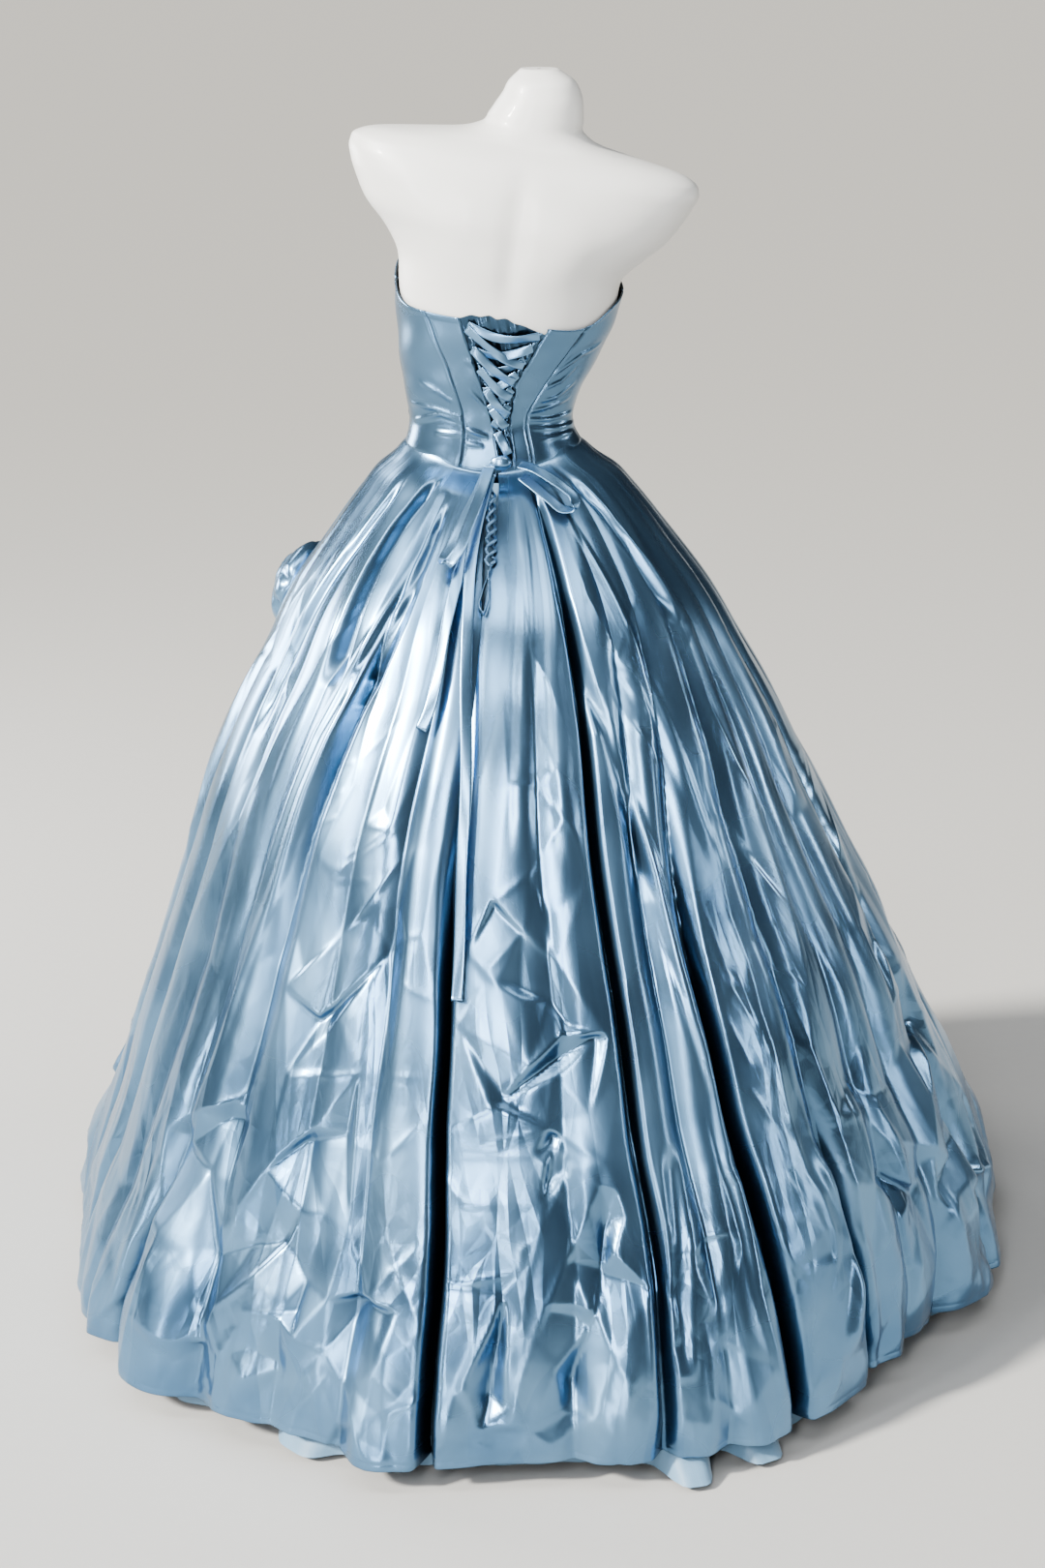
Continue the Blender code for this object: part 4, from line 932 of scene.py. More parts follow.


# Duchess satin, polyester filament woven in long floats and calendered: a liquid, almost
# metallic sheen with white highlights and deep blue shade, broken by long crisp shards. Part of the shade is
# painted into the colour: navy in the folds, a darker blue on some shards, and whole copies darkened or
# lightened by tone.
def calendered_satin(name, crumple, tone, hollow=0.045):
    colours = bpy.context.scene.gown_colours
    material, tree, shader = blank_material(name, Metallic=0.96, Roughness=0.25, IOR=1.5)
    cloth = add_node(tree, "ShaderNodeTexCoord").outputs["UV"]
    # Handling creases about 60 mm apart, several times longer down the cloth than across it.
    stretch = add_node(tree, "ShaderNodeMapping", {"Vector": cloth, "Scale": (1 / 0.062, 1 / 0.240, 1.0)})
    waver = add_node(tree, "ShaderNodeTexNoise", {"Vector": stretch.outputs[0], "Scale": 0.8, "Detail": 1.0})
    bend = add_node(
        tree, "ShaderNodeVectorMath", {0: waver.outputs["Color"], 1: (0.5, 0.5, 0.5)}, operation="SUBTRACT",
    )
    bent = add_node(
        tree, "ShaderNodeVectorMath", {0: bend.outputs[0], 1: (0.9, 0.5, 0.5), 2: stretch.outputs[0]},
        operation="MULTIPLY_ADD",
    )
    shards = add_node(
        tree, "ShaderNodeTexVoronoi", {"Vector": bent.outputs[0], "Scale": 1.0}, feature="DISTANCE_TO_EDGE",
    )
    # Small crush marks 30 mm across lie over them.
    crush = add_node(tree, "ShaderNodeMapping", {"Vector": cloth, "Scale": (1 / 0.030, 1 / 0.050, 1.0)})
    bent_crush = add_node(
        tree, "ShaderNodeVectorMath", {0: bend.outputs[0], 1: (0.8, 0.8, 0.8), 2: crush.outputs[0]},
        operation="MULTIPLY_ADD",
    )
    marks = add_node(
        tree, "ShaderNodeTexVoronoi", {"Vector": bent_crush.outputs[0], "Scale": 1.0},
        feature="DISTANCE_TO_EDGE",
    )
    both = add_node(
        tree, "ShaderNodeMath", {0: marks.outputs["Distance"], 1: 0.16, 2: shards.outputs["Distance"]},
        operation="MULTIPLY_ADD",
    )
    patches = add_node(tree, "ShaderNodeTexNoise", {"Vector": cloth, "Scale": 6.0, "Detail": 1.0})
    where = add_node(
        tree, "ShaderNodeMapRange",
        {"Value": patches.outputs[0], "From Min": 0.40, "From Max": 0.60, "To Min": 0.30, "To Max": 1.0},
    )
    along = add_node(tree, "ShaderNodeSeparateXYZ", {"Vector": cloth})
    lower = add_node(
        tree, "ShaderNodeMapRange",
        {"Value": along.outputs["Y"], "From Min": 0.42, "From Max": 0.86, "To Min": 0.05, "To Max": 1.0},
    )
    crushed = add_node(
        tree, "ShaderNodeMath", {0: lower.outputs[0], 1: where.outputs[0]}, operation="MULTIPLY",
    )
    height = add_node(
        tree, "ShaderNodeMath", {0: both.outputs[0], 1: crushed.outputs[0]}, operation="MULTIPLY",
    )
    # Satin floats are 0.15 mm wide; drawn at 0.9 mm so that they just show up close.
    floats = add_node(tree, "ShaderNodeMapping", {"Vector": cloth, "Scale": (1 / 0.0009, 1 / 0.012, 1.0)})
    slubs = add_node(tree, "ShaderNodeTexNoise", {"Vector": floats.outputs[0], "Scale": 1.0, "Detail": 1.0})
    threads = add_node(
        tree, "ShaderNodeBump", {"Height": slubs.outputs[0], "Strength": 0.05, "Distance": 0.0004},
    )
    bump = add_node(
        tree, "ShaderNodeBump",
        {"Height": height.outputs[0], "Strength": 1.0, "Distance": crumple, "Normal": threads.outputs[0]},
    )
    shade = add_node(tree, "ShaderNodeTexNoise", {"Vector": cloth, "Scale": 9.0, "Detail": 3.0})
    share = add_node(
        tree, "ShaderNodeMapRange",
        {"Value": shade.outputs[0], "From Min": 0.3, "From Max": 0.8, "To Min": 0.0, "To Max": 0.5},
    )
    # Painted shade: each shard gets its own lighter or darker blue, standing in for the light it would catch
    # at its own lean, more so where the cloth is crushed.
    shard_cells = add_node(tree, "ShaderNodeTexVoronoi", {"Vector": bent.outputs[0], "Scale": 1.0})
    own = add_node(tree, "ShaderNodeSeparateColor", {"Color": shard_cells.outputs["Color"]})
    painted_facet_shade_share = add_node(
        tree, "ShaderNodeMath", {0: own.outputs[0], 1: crushed.outputs[0]}, operation="MULTIPLY",
    )
    mottle_and_painted_facet_shade_share = add_node(
        tree, "ShaderNodeMath", {0: painted_facet_shade_share.outputs[0], 1: 0.5, 2: share.outputs[0]},
        operation="MULTIPLY_ADD",
    )
    blend = add_node(
        tree, "ShaderNodeMix",
        {0: mottle_and_painted_facet_shade_share.outputs[0], 6: toned(colours.satin, tone), 7: toned(colours.satin_deep_and_painted_facet_shade, tone)},
        data_type="RGBA",
    )
    # Painted shade: where an ambient-occlusion test finds the cloth folding in on itself, the base colour is
    # darkened towards navy.
    painted_shade_occlusion = add_node(tree, "ShaderNodeAmbientOcclusion", {"Distance": hollow}, samples=4)
    unshaded_share = add_node(
        tree, "ShaderNodeMapRange",
        {"Value": painted_shade_occlusion.outputs["AO"], "From Min": 0.32, "From Max": 0.88, "To Min": 0.0, "To Max": 1.0},
    )
    colour_with_painted_shade = add_node(
        tree, "ShaderNodeMix",
        {0: unshaded_share.outputs[0], 6: toned(colours.satin_painted_fold_shade, tone), 7: blend.outputs[2]},
        data_type="RGBA",
    )
    rough = add_node(
        tree, "ShaderNodeMapRange",
        {"Value": patches.outputs[0], "From Min": 0.35, "From Max": 0.65, "To Min": 0.32, "To Max": 0.21},
    )
    tree.links.new(colour_with_painted_shade.outputs[2], shader.inputs["Base Color"])
    tree.links.new(rough.outputs[0], shader.inputs["Roughness"])
    tree.links.new(bump.outputs[0], shader.inputs["Normal"])
    return material


# Lining habotai, acetate in plain weave: matt, faintly ribbed, without the satin's mirror.
def woven_lining(name):
    colours = bpy.context.scene.gown_colours
    material, tree, shader = blank_material(
        name, Metallic=0.0, Roughness=0.55, Sheen_Weight=0.3, Sheen_Roughness=0.4, IOR=1.47,
    )
    cloth = add_node(tree, "ShaderNodeTexCoord").outputs["UV"]
    # Threads 0.3 mm apart; drawn at 1.2 mm so that they show.
    threads = {"Vector": cloth, "Scale": 1 / (0.0012 * 6.3)}
    warp = add_node(tree, "ShaderNodeTexWave", threads, bands_direction="X")
    weft = add_node(tree, "ShaderNodeTexWave", threads, bands_direction="Y")
    weave = add_node(
        tree, "ShaderNodeMath", {0: warp.outputs["Fac"], 1: weft.outputs["Fac"]}, operation="MULTIPLY",
    )
    creases = add_node(tree, "ShaderNodeTexNoise", {"Vector": cloth, "Scale": 26.0, "Detail": 3.0})
    fine = add_node(tree, "ShaderNodeBump", {"Height": weave.outputs[0], "Strength": 0.2, "Distance": 0.0003})
    bump = add_node(
        tree, "ShaderNodeBump",
        {"Height": creases.outputs[0], "Strength": 0.6, "Distance": 0.004, "Normal": fine.outputs[0]},
    )
    # Painted shade: the lining's colour is darkened by up to a fifth where its bumped creases sink.
    tint = add_node(
        tree, "ShaderNodeMapRange",
        {"Value": creases.outputs[0], "From Min": 0.3, "From Max": 0.7, "To Min": 0.82, "To Max": 1.0},
    )
    colour = add_node(
        tree, "ShaderNodeVectorMath",
        {0: tuple(colours.lining)[:3], "Scale": tint.outputs[0]}, operation="SCALE",
    )
    tree.links.new(colour.outputs[0], shader.inputs["Base Color"])
    tree.links.new(bump.outputs[0], shader.inputs["Normal"])
    return material


# Glass-reinforced plastic, moulded and sprayed with off-white lacquer: smooth, half matt,
# with the faint orange peel of sprayed paint.
def sprayed_plastic(name, colour):
    material, tree, shader = blank_material(name, Metallic=0.0, Roughness=0.42, IOR=1.5, Coat_Weight=0.1)
    place = add_node(tree, "ShaderNodeTexCoord").outputs["Object"]
    # Orange peel, dimples 3 mm across.
    peel = add_node(tree, "ShaderNodeTexNoise", {"Vector": place, "Scale": 330.0, "Detail": 1.0})
    clouds = add_node(tree, "ShaderNodeTexNoise", {"Vector": place, "Scale": 9.0, "Detail": 3.0})
    bump = add_node(tree, "ShaderNodeBump", {"Height": peel.outputs[0], "Strength": 0.12, "Distance": 0.0003})
    tint = add_node(
        tree, "ShaderNodeMapRange",
        {"Value": clouds.outputs[0], "From Min": 0.3, "From Max": 0.7, "To Min": 0.95, "To Max": 1.0},
    )
    paint = add_node(
        tree, "ShaderNodeVectorMath", {0: tuple(colour)[:3], "Scale": tint.outputs[0]}, operation="SCALE",
    )
    rough = add_node(
        tree, "ShaderNodeMapRange",
        {"Value": clouds.outputs[0], "From Min": 0.3, "From Max": 0.7, "To Min": 0.38, "To Max": 0.48},
    )
    tree.links.new(paint.outputs[0], shader.inputs["Base Color"])
    tree.links.new(rough.outputs[0], shader.inputs["Roughness"])
    tree.links.new(bump.outputs[0], shader.inputs["Normal"])
    return material


# Mild steel, powder coated: an even, slightly pebbled satin gloss.
def powder_coated_steel(name, colour):
    material, tree, shader = blank_material(name, Metallic=0.0, Roughness=0.5, IOR=1.5)
    place = add_node(tree, "ShaderNodeTexCoord").outputs["Object"]
    # Powder grain 0.1 mm; drawn at 1 mm so that it shows.
    grain = add_node(tree, "ShaderNodeTexNoise", {"Vector": place, "Scale": 1000.0, "Detail": 1.0})
    bump = add_node(tree, "ShaderNodeBump", {"Height": grain.outputs[0], "Strength": 0.2, "Distance": 0.0002})
    tint = add_node(
        tree, "ShaderNodeMapRange",
        {"Value": grain.outputs[0], "From Min": 0.3, "From Max": 0.7, "To Min": 0.9, "To Max": 1.0},
    )
    paint = add_node(
        tree, "ShaderNodeVectorMath", {0: tuple(colour)[:3], "Scale": tint.outputs[0]}, operation="SCALE",
    )
    tree.links.new(paint.outputs[0], shader.inputs["Base Color"])
    tree.links.new(bump.outputs[0], shader.inputs["Normal"])
    return material


def kept_material(name, maker, *values):
    """The named material, made on first use."""
    return bpy.data.materials.get(name) or maker(name, *values)


def satin():
    return kept_material("satin_polyester_calendered", calendered_satin, 0.0064, 1.0)


# Painted shade: the bodice's satin is a copy with its colours darkened to two thirds; its crush is also
# lighter.
def bodice_satin():
    return kept_material("satin_polyester_calendered_on_boning", calendered_satin, 0.0030, 0.66)


# Painted light: the ribbons are a copy of the satin with its colours lightened by an eighth; their painted
# fold shade reaches only 10 mm.
def ribbon_satin():
    return kept_material("satin_polyester_ribbon_folded", calendered_satin, 0.0012, 1.12, 0.010)


# Painted shade: the satin behind the lacing is a copy with its colours darkened to a third, standing in for
# the shadow between the strands.
def modesty_satin():
    return kept_material("satin_polyester_calendered_behind_lacing", calendered_satin, 0.0030, 0.34)


def grid_faces(rows, columns, closed=False):
    index = np.arange(rows * columns).reshape(rows, columns)
    if closed:
        index = np.c_[index, index[:, :1]]
    corners = (index[:-1, :-1], index[1:, :-1], index[1:, 1:], index[:-1, 1:])
    return np.stack(corners, -1).reshape(-1, 4)


def capped_faces(rings, sides):
    """Faces of a tube of closed rings, with a cap at each end."""
    last = (rings - 1) * sides
    caps = [list(range(sides))[::-1], [last + k for k in range(sides)]]
    return grid_faces(rings, sides, closed=True).tolist() + caps


def lengths_along(points):
    """Length of a path up to each of its points."""
    return np.r_[0, np.cumsum(np.linalg.norm(np.diff(points, axis=0), axis=1))]


def add_piece(name, points, faces, material, cloth=None):
    """Links a smooth mesh piece; cloth holds each vertex's place on the flat cloth, in metres."""
    mesh = bpy.data.meshes.new(name)
    corners = [list(map(int, face)) for face in faces]
    mesh.from_pydata(np.asarray(points, float).reshape(-1, 3).tolist(), [], corners)
    if cloth is not None:
        layer = mesh.uv_layers.new(name="cloth")
        corner = np.empty(len(mesh.loops), int)
        mesh.loops.foreach_get("vertex_index", corner)
        layer.uv.foreach_set("vector", np.asarray(cloth, float).reshape(-1, 2)[corner].ravel())
    mesh.materials.append(material)
    mesh.shade_smooth()
    piece = bpy.data.objects.new(name, mesh)
    bpy.context.scene.collection.objects.link(piece)
    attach(piece, "root")
    return piece


def stand_for(node):
    """The piece shows instead of a node, which is hidden."""
    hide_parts(node)


def add_cloth(name, points, material, cloth, outward=None):
    """One open sheet over a grid of points, its face turned outwards."""
    rows, columns = points.shape[:2]
    faces = grid_faces(rows, columns)
    if outward is not None:
        a, b, c = (points.reshape(-1, 3)[faces[len(faces) // 2][k]] for k in (0, 1, 2))
        if np.dot(np.cross(b - a, c - a), outward) < 0:
            faces = faces[:, ::-1]
    return add_piece(name, points, faces, material, cloth)


def add_ribbon(node, path, across, width, cup=0.0, sides=16):
    """A strip of doubled cloth with soft edges along a path, its middle swelling outwards by the cup."""
    turn = np.radians(np.arange(sides) * 360 / sides)
    flat = np.sign(np.cos(turn)) * np.abs(np.cos(turn)) ** 0.6 * width / 2
    thick = np.sign(np.sin(turn)) * np.abs(np.sin(turn)) ** 0.5 * DOUBLED / 2
    thick = thick * (0.7 + 0.9 * np.exp(-((np.abs(2 * flat / width) - 0.86) / 0.10) ** 2))
    along = unit_rows(np.gradient(path, axis=0))
    across = unit_rows(across - (across * along).sum(-1, keepdims=True) * along)
    out = np.cross(along, across)
    thick = thick + cup * (1 - (2 * flat / width) ** 2)
    points = path[:, None] + across[:, None] * flat[None, :, None] + out[:, None] * thick[None, :, None]
    cloth = np.stack(np.broadcast_arrays(flat[None, :], lengths_along(path)[:, None]), -1)
    ribbon = add_piece("ribbon_" + node, points, capped_faces(len(path), sides), ribbon_satin(), cloth)
    stand_for(node)
    return ribbon


def across_rolled(path, out, roll):
    """Directions across a ribbon that lies on its path and rolls about it by an angle."""
    across = unit_rows(np.cross(out, np.gradient(path, axis=0)))
    return across * np.cos(roll)[:, None] + out * np.sin(roll)[:, None]


def add_cords(node, cords):
    """One piece of several cords, standing for its node."""
    points, faces, cloth, count = [], [], [], 0
    for cord_points, cord_faces, cord_cloth in cords:
        points.append(cord_points.reshape(-1, 3))
        cloth.append(cord_cloth.reshape(-1, 2))
        faces += [[k + count for k in face] for face in cord_faces]
        count += len(points[-1])
    piece = add_piece("rouleau_" + node, np.concatenate(points), faces, ribbon_satin(), np.concatenate(cloth))
    stand_for(node)


def rouleau(path, radius, sides=8):
    """A round cord of rolled cloth along a path."""
    along = unit_rows(np.gradient(path, axis=0))
    side = unit_rows(np.cross(along, np.array([0.03, 0.07, 1.0])))
    up = np.cross(side, along)
    turn = np.radians(np.arange(sides) * 360 / sides)
    ring = np.cos(turn)[None, :, None] * side[:, None] + np.sin(turn)[None, :, None] * up[:, None]
    points = path[:, None] + radius * ring
    cloth = np.stack(np.broadcast_arrays(turn[None, :] * radius, lengths_along(path)[:, None]), -1)
    return points, capped_faces(len(path), sides), cloth


def spread_creases(rng):
    """The table's creases, and like ones round the sides and the front."""
    placed = [(rank, crease_points(row)) for rank, *row in CREASES]
    creases = list(placed)
    for turn, mirror, low, high in CREASE_COPIES:
        for rank, line in placed:
            turned = line * (mirror, 1) + (turn + rng.uniform(-3, 3), rng.uniform(-0.03, 0.03))
            if low < turned[:, 0].mean() < high:
                creases.append((rank, turned))
    return creases


def drop_at(azimuth, height):
    top = waist_edge(azimuth) - WAIST_GAP
    return (top - height) / (top - skirt_height(azimuth, 1.0))


def fold_place(azimuth, drop):
    """Where azimuths lie among the folds at one drop: 3.5 is half way from valley 3 to valley 4."""
    valleys = np.array([float(fold_azimuth(k, drop)) for k in range(-1, len(FOLDS) + 2)])
    around = (azimuth - valleys[1]) % 360 + valleys[1]
    return np.interp(around, valleys, np.arange(-1, len(FOLDS) + 2))


def among_folds(line):
    """A line of azimuths and heights, as places among the folds and drops."""
    drops = np.array([float(drop_at(*point)) for point in line])
    places = np.array([float(fold_place(point[0], drop)) for point, drop in zip(line, drops)])
    turn = len(FOLDS)
    places = places[0] + (places - places[0] + turn / 2) % turn - turn / 2
    return np.stack([places, drops], -1)


def copies_round(line):
    """Copies of a line one turn before and after, where they are near the map's ends."""
    turn = len(FOLDS)
    middle = np.mean(np.atleast_2d(line)[:, 0])
    home = turn * round(middle / turn)
    return [line - (home + way, 0) for way in (-turn, 0, turn) if abs(middle - home - way) < turn * 0.56]


def facet_corners(points, levels, edges):
    """Flat facets through points that keep the given edges: their corners and levels."""
    flat = [Vector((place * FOLD_ON_MAP, drop * DROP_ON_MAP)) for place, drop in points]
    corners, _, faces, sources, _, _ = delaunay_2d_cdt(flat, edges, [], 0, 1e-5, True)
    level = np.array([np.mean([levels[k] for k in own]) if own else np.nan for own in sources])
    faces = np.array(faces)
    for corner in np.flatnonzero(np.isnan(level)):
        level[corner] = np.nanmean(level[faces[(faces == corner).any(axis=1)]])
    places = np.array([(c.x / FOLD_ON_MAP, c.y / DROP_ON_MAP) for c in corners])
    return places[faces], level[faces]


def draw_facets(corners, levels):
    """A map of flat facets, by place among the folds and drop."""
    field = np.zeros((MAP_COLUMNS, MAP_ROWS))
    corners = corners * (MAP_COLUMNS / len(FOLDS), MAP_ROWS - 1)
    for (p, q, r), (at_p, at_q, at_r) in zip(corners, levels):
        low = np.floor(np.minimum(np.minimum(p, q), r)).astype(int)
        high = np.ceil(np.maximum(np.maximum(p, q), r)).astype(int) + 1
        i, j = np.meshgrid(np.arange(low[0], high[0]), np.arange(low[1], high[1]), indexing="ij")
        twice = (q[0] - p[0]) * (r[1] - p[1]) - (r[0] - p[0]) * (q[1] - p[1])
        if abs(twice) < 1e-9:
            continue
        a = ((q[0] - i) * (r[1] - j) - (r[0] - i) * (q[1] - j)) / twice
        b = ((r[0] - i) * (p[1] - j) - (p[0] - i) * (r[1] - j)) / twice
        c = 1 - a - b
        inside = (a >= -1e-9) & (b >= -1e-9) & (c >= -1e-9) & (j >= 0) & (j < MAP_ROWS)
        field[i[inside] % MAP_COLUMNS, j[inside]] = (a * at_p + b * at_q + c * at_r)[inside]
    return field


def crisp_ridge(off, share, width):
    """Section of a sharp crease, fading at both ends."""
    return np.exp(-off / width) * (4 * share * (1 - share) + 0.02) ** 0.4


def gather_ridge(off, share, width):
    """Section of a gather that starts full at the waist seam and fades below."""
    return np.exp(-(off / width) ** 2) * (1 - share) ** 0.7


def round_tube(off, share, width):
    """Section of a soft rounded fold, fading at both ends."""
    return np.clip(1 - (off / width) ** 2, 0, 1) ** 2 * np.clip(8 * np.minimum(share, 1 - share), 0, 1)


def draw_line(field, line, height, width, section, added=False):
    """Raises a ridge, or sinks a trough, along a line of azimuths and heights."""
    scale = np.array([np.radians(1) * float(skirt_row(line[:, 1].mean())[0]), SLOPE])
    cells = np.array([MAP_COLUMNS / 360, (MAP_ROWS - 1) / MAP_TOP])
    steps = np.linalg.norm(np.diff(line * scale, axis=0), axis=1)
    reach = 4.5 * width / scale
    start = 0.0
    low = np.floor((line.min(axis=0) - reach) * cells).astype(int)
    high = np.ceil((line.max(axis=0) + reach) * cells).astype(int)
    i, j = np.meshgrid(
        np.arange(low[0], high[0] + 1), np.arange(max(low[1], 0), min(high[1] + 1, MAP_ROWS)), indexing="ij",
    )
    nearest, share = np.full(i.shape, np.inf), np.zeros(i.shape)
    for p, q, step in zip(line[:-1], line[1:], steps):
        x, y = (i / cells[0] - p[0]) * scale[0], (j / cells[1] - p[1]) * scale[1]
        passed, off = beside_line(x, y, (q - p) * scale, step)
        closer = off < nearest
        nearest[closer], share[closer] = off[closer], ((start + passed) / steps.sum())[closer]
        start += step
    drawn = height * section(nearest, share, width)
    spot = (i % MAP_COLUMNS, j)
    old = field[spot]
    field[spot] = old + drawn if added else np.where(np.abs(drawn) > np.abs(old), drawn, old)


def crumple_level(place, drop):
    """How strongly the cloth is crushed: more near the hem, less on the right hip."""
    turn = len(FOLDS)
    around = (place + turn / 2) % turn - turn / 2
    hip = math.exp(-((around - HIP_PLACE) / HIP_SPREAD) ** 2)
    hip *= clamped((HIP_FOOT - drop) / HIP_FADE)
    hem = 1 + 0.6 * clamped((drop - CRUSHED_FROM) / CRUSHED_RANGE)
    return (0.03 + 0.97 * clamped(drop) ** 1.9) * (1 - 0.8 * hip) * hem


def fold_room(place):
    """How much room a fold has for small facets: little where it is narrow."""
    fold = math.floor(place)
    width = float(fold_azimuth(fold + 1, 0.8) - fold_azimuth(fold, 0.8))
    return min(1.0, width / ROOMY_FOLD) ** 2


def crease_level(drop):
    """How far the table's creases stand out: less towards the waist."""
    return 0.20 + 0.80 * clamped(drop)


def facet_map(creases, facet, rng):
    """Levels of large facets between the creases and of small ones over them."""
    points, levels, edges = [], [], []
    for rank, line in creases:
        strength = rank * 0.25 if rank > 0 else rank * 0.45
        for copy in copies_round(among_folds(line)):
            first = len(points)
            for spot in copy:
                points.append(tuple(spot))
                levels.append(facet * strength * rng.uniform(0.55, 1.0) * crease_level(spot[1]))
            edges += [(first + k, first + k + 1) for k in range(len(copy) - 1)]
    placed = np.array(points)
    half_turn = len(FOLDS) / 2
    for column in np.arange(-half_turn, half_turn, FACET_STEP[0]):
        for row in np.arange(-FACET_STEP[1], 1 + 1.6 * FACET_STEP[1], FACET_STEP[1]):
            spot = np.array([column, row]) + rng.uniform(-0.42, 0.42, 2) * FACET_STEP
            if (np.abs(placed - spot) / FACET_CLEAR).max(axis=1).min() < 1:
                continue
            level = rng.uniform(-0.85, 0.3) * facet * crumple_level(*spot)
            for copy in copies_round(spot):
                points.append(tuple(copy))
                levels.append(level)
    large = draw_facets(*facet_corners(points, levels, edges))
    points, levels = [], []
    for column in np.arange(-half_turn, half_turn, SMALL_FACET_STEP[0]):
        for row in np.arange(-SMALL_FACET_STEP[1], 1 + 2 * SMALL_FACET_STEP[1], SMALL_FACET_STEP[1]):
            spot = np.array([column, row]) + rng.uniform(-0.45, 0.45, 2) * SMALL_FACET_STEP
            patch = 0.5 + 0.5 * math.sin(spot[0] * 2.1 + 5 * spot[1]) * math.sin(spot[1] * 13 + spot[0] * 0.5)
            near_hem = clamped((spot[1] - NEAR_HEM_FROM) / NEAR_HEM_RANGE)
            level = rng.uniform(-1, 1) * (0.20 + 0.16 * near_hem) * facet * crumple_level(*spot)
            level *= (0.35 + 0.4 * near_hem + patch ** 2) * fold_room(spot[0])
            for copy in copies_round(spot):
                points.append(tuple(copy))
                levels.append(level)
    return softened(large + draw_facets(*facet_corners(points, levels, [])))


def softened(field):
    """A map with its edges rounded over a few cells, as satin rounds a crease."""
    field = (np.roll(field, 1, axis=0) + 2 * field + np.roll(field, -1, axis=0)) / 4
    padded = np.pad(field, ((0, 0), (1, 1)), mode="edge")
    return (padded[:, :-2] + 2 * field + padded[:, 2:]) / 4


def line_map(creases, crease, rng):
    """Heights of crisp creases, gathers and rounded folds, by azimuth and height."""
    lines, tubes = np.zeros((MAP_COLUMNS, MAP_ROWS)), np.zeros((MAP_COLUMNS, MAP_ROWS))
    for rank, line in creases:
        strength = 0.5 + 0.5 * float(np.clip(drop_at(*line.mean(axis=0)), 0, 1))
        draw_line(lines, line, rank * crease * strength, CREASE_WIDTH, crisp_ridge)
    for azimuth in np.arange(-180, 180, GATHER_STEP):
        start = azimuth + rng.uniform(-0.4, 0.4) * GATHER_STEP
        drops = np.linspace(0, rng.uniform(0.03, 0.12), 5)
        line = np.stack([gather_azimuth(start, drops), skirt_height(start, drops)], -1)
        draw_line(lines, line, rng.uniform(0.25, 1.0) * GATHER_HEIGHT, GATHER_WIDTH, gather_ridge)
    for azimuth in np.arange(-180, 180, HEM_CREASE_STEP):
        foot = azimuth + rng.uniform(-0.5, 0.5) * HEM_CREASE_STEP
        lean = rng.uniform(-HEM_CREASE_LEAN, HEM_CREASE_LEAN) * HEM_CREASE_STEP
        rises = np.array([-0.01, rng.uniform(0.3, 0.7), 1.0]) * rng.uniform(*HEM_CREASE_RISE)
        line = np.stack([foot + lean * np.array([0.0, rng.uniform(-0.2, 1.2), 1.0]), HEM_Z + rises], -1)
        height = rng.uniform(*HEM_CREASE_RANKS) * crease
        draw_line(lines, line, height, CREASE_WIDTH * rng.uniform(*HEM_CREASE_WIDTHS), crisp_ridge)
    for height, width, *row in ROUND_FOLDS:
        draw_line(tubes, crease_points(row), height * 0.001, width * 0.001, round_tube, added=True)
    return lines + tubes


def gather_azimuth(start, drops):
    """Where a gather that starts at an azimuth at the waist runs, following the folds."""
    place = float(fold_place(start, 0.0))
    folds = np.arange(len(FOLDS) + 1)
    path = [np.interp(place, folds, [float(fold_azimuth(k, drop)) for k in folds]) for drop in drops]
    return np.array(path) + 360 * round((start - path[0]) / 360)


def read_map(field, column, row):
    """A map's value at any share of a turn and share of its height."""
    x = (column % 1) * MAP_COLUMNS
    y = np.clip(row * (MAP_ROWS - 1), 0, MAP_ROWS - 1.001)
    i, j = np.floor(x).astype(int), np.floor(y).astype(int)
    s, t = x - i, y - j
    i, k = i % MAP_COLUMNS, (i + 1) % MAP_COLUMNS
    return ((field[i, j] * (1 - s) + field[k, j] * s) * (1 - t)
            + (field[i, j + 1] * (1 - s) + field[k, j + 1] * s) * t)


def edge_gap(fold, drops, azimuth):
    """Half the gap at a panel's edge in degrees: a seam's, and the slit's at the centre back."""
    height = skirt_height(azimuth, drops)
    gap = np.full(drops.shape, SEAM_GAP / 2)
    if fold % len(FOLDS) == 0:
        table = np.array(SLIT)
        gap = gap + np.interp(height, table[:, 0], table[:, 1], left=0.0)
    return np.degrees(gap / skirt_radius(azimuth, height))


def valley(x):
    """Cross-section of a valley: 1 at its bottom, 0 from one half width away."""
    x = np.minimum(np.abs(x), 1)
    return (1 - x) ** 2 * (1 + 0.6 * x)


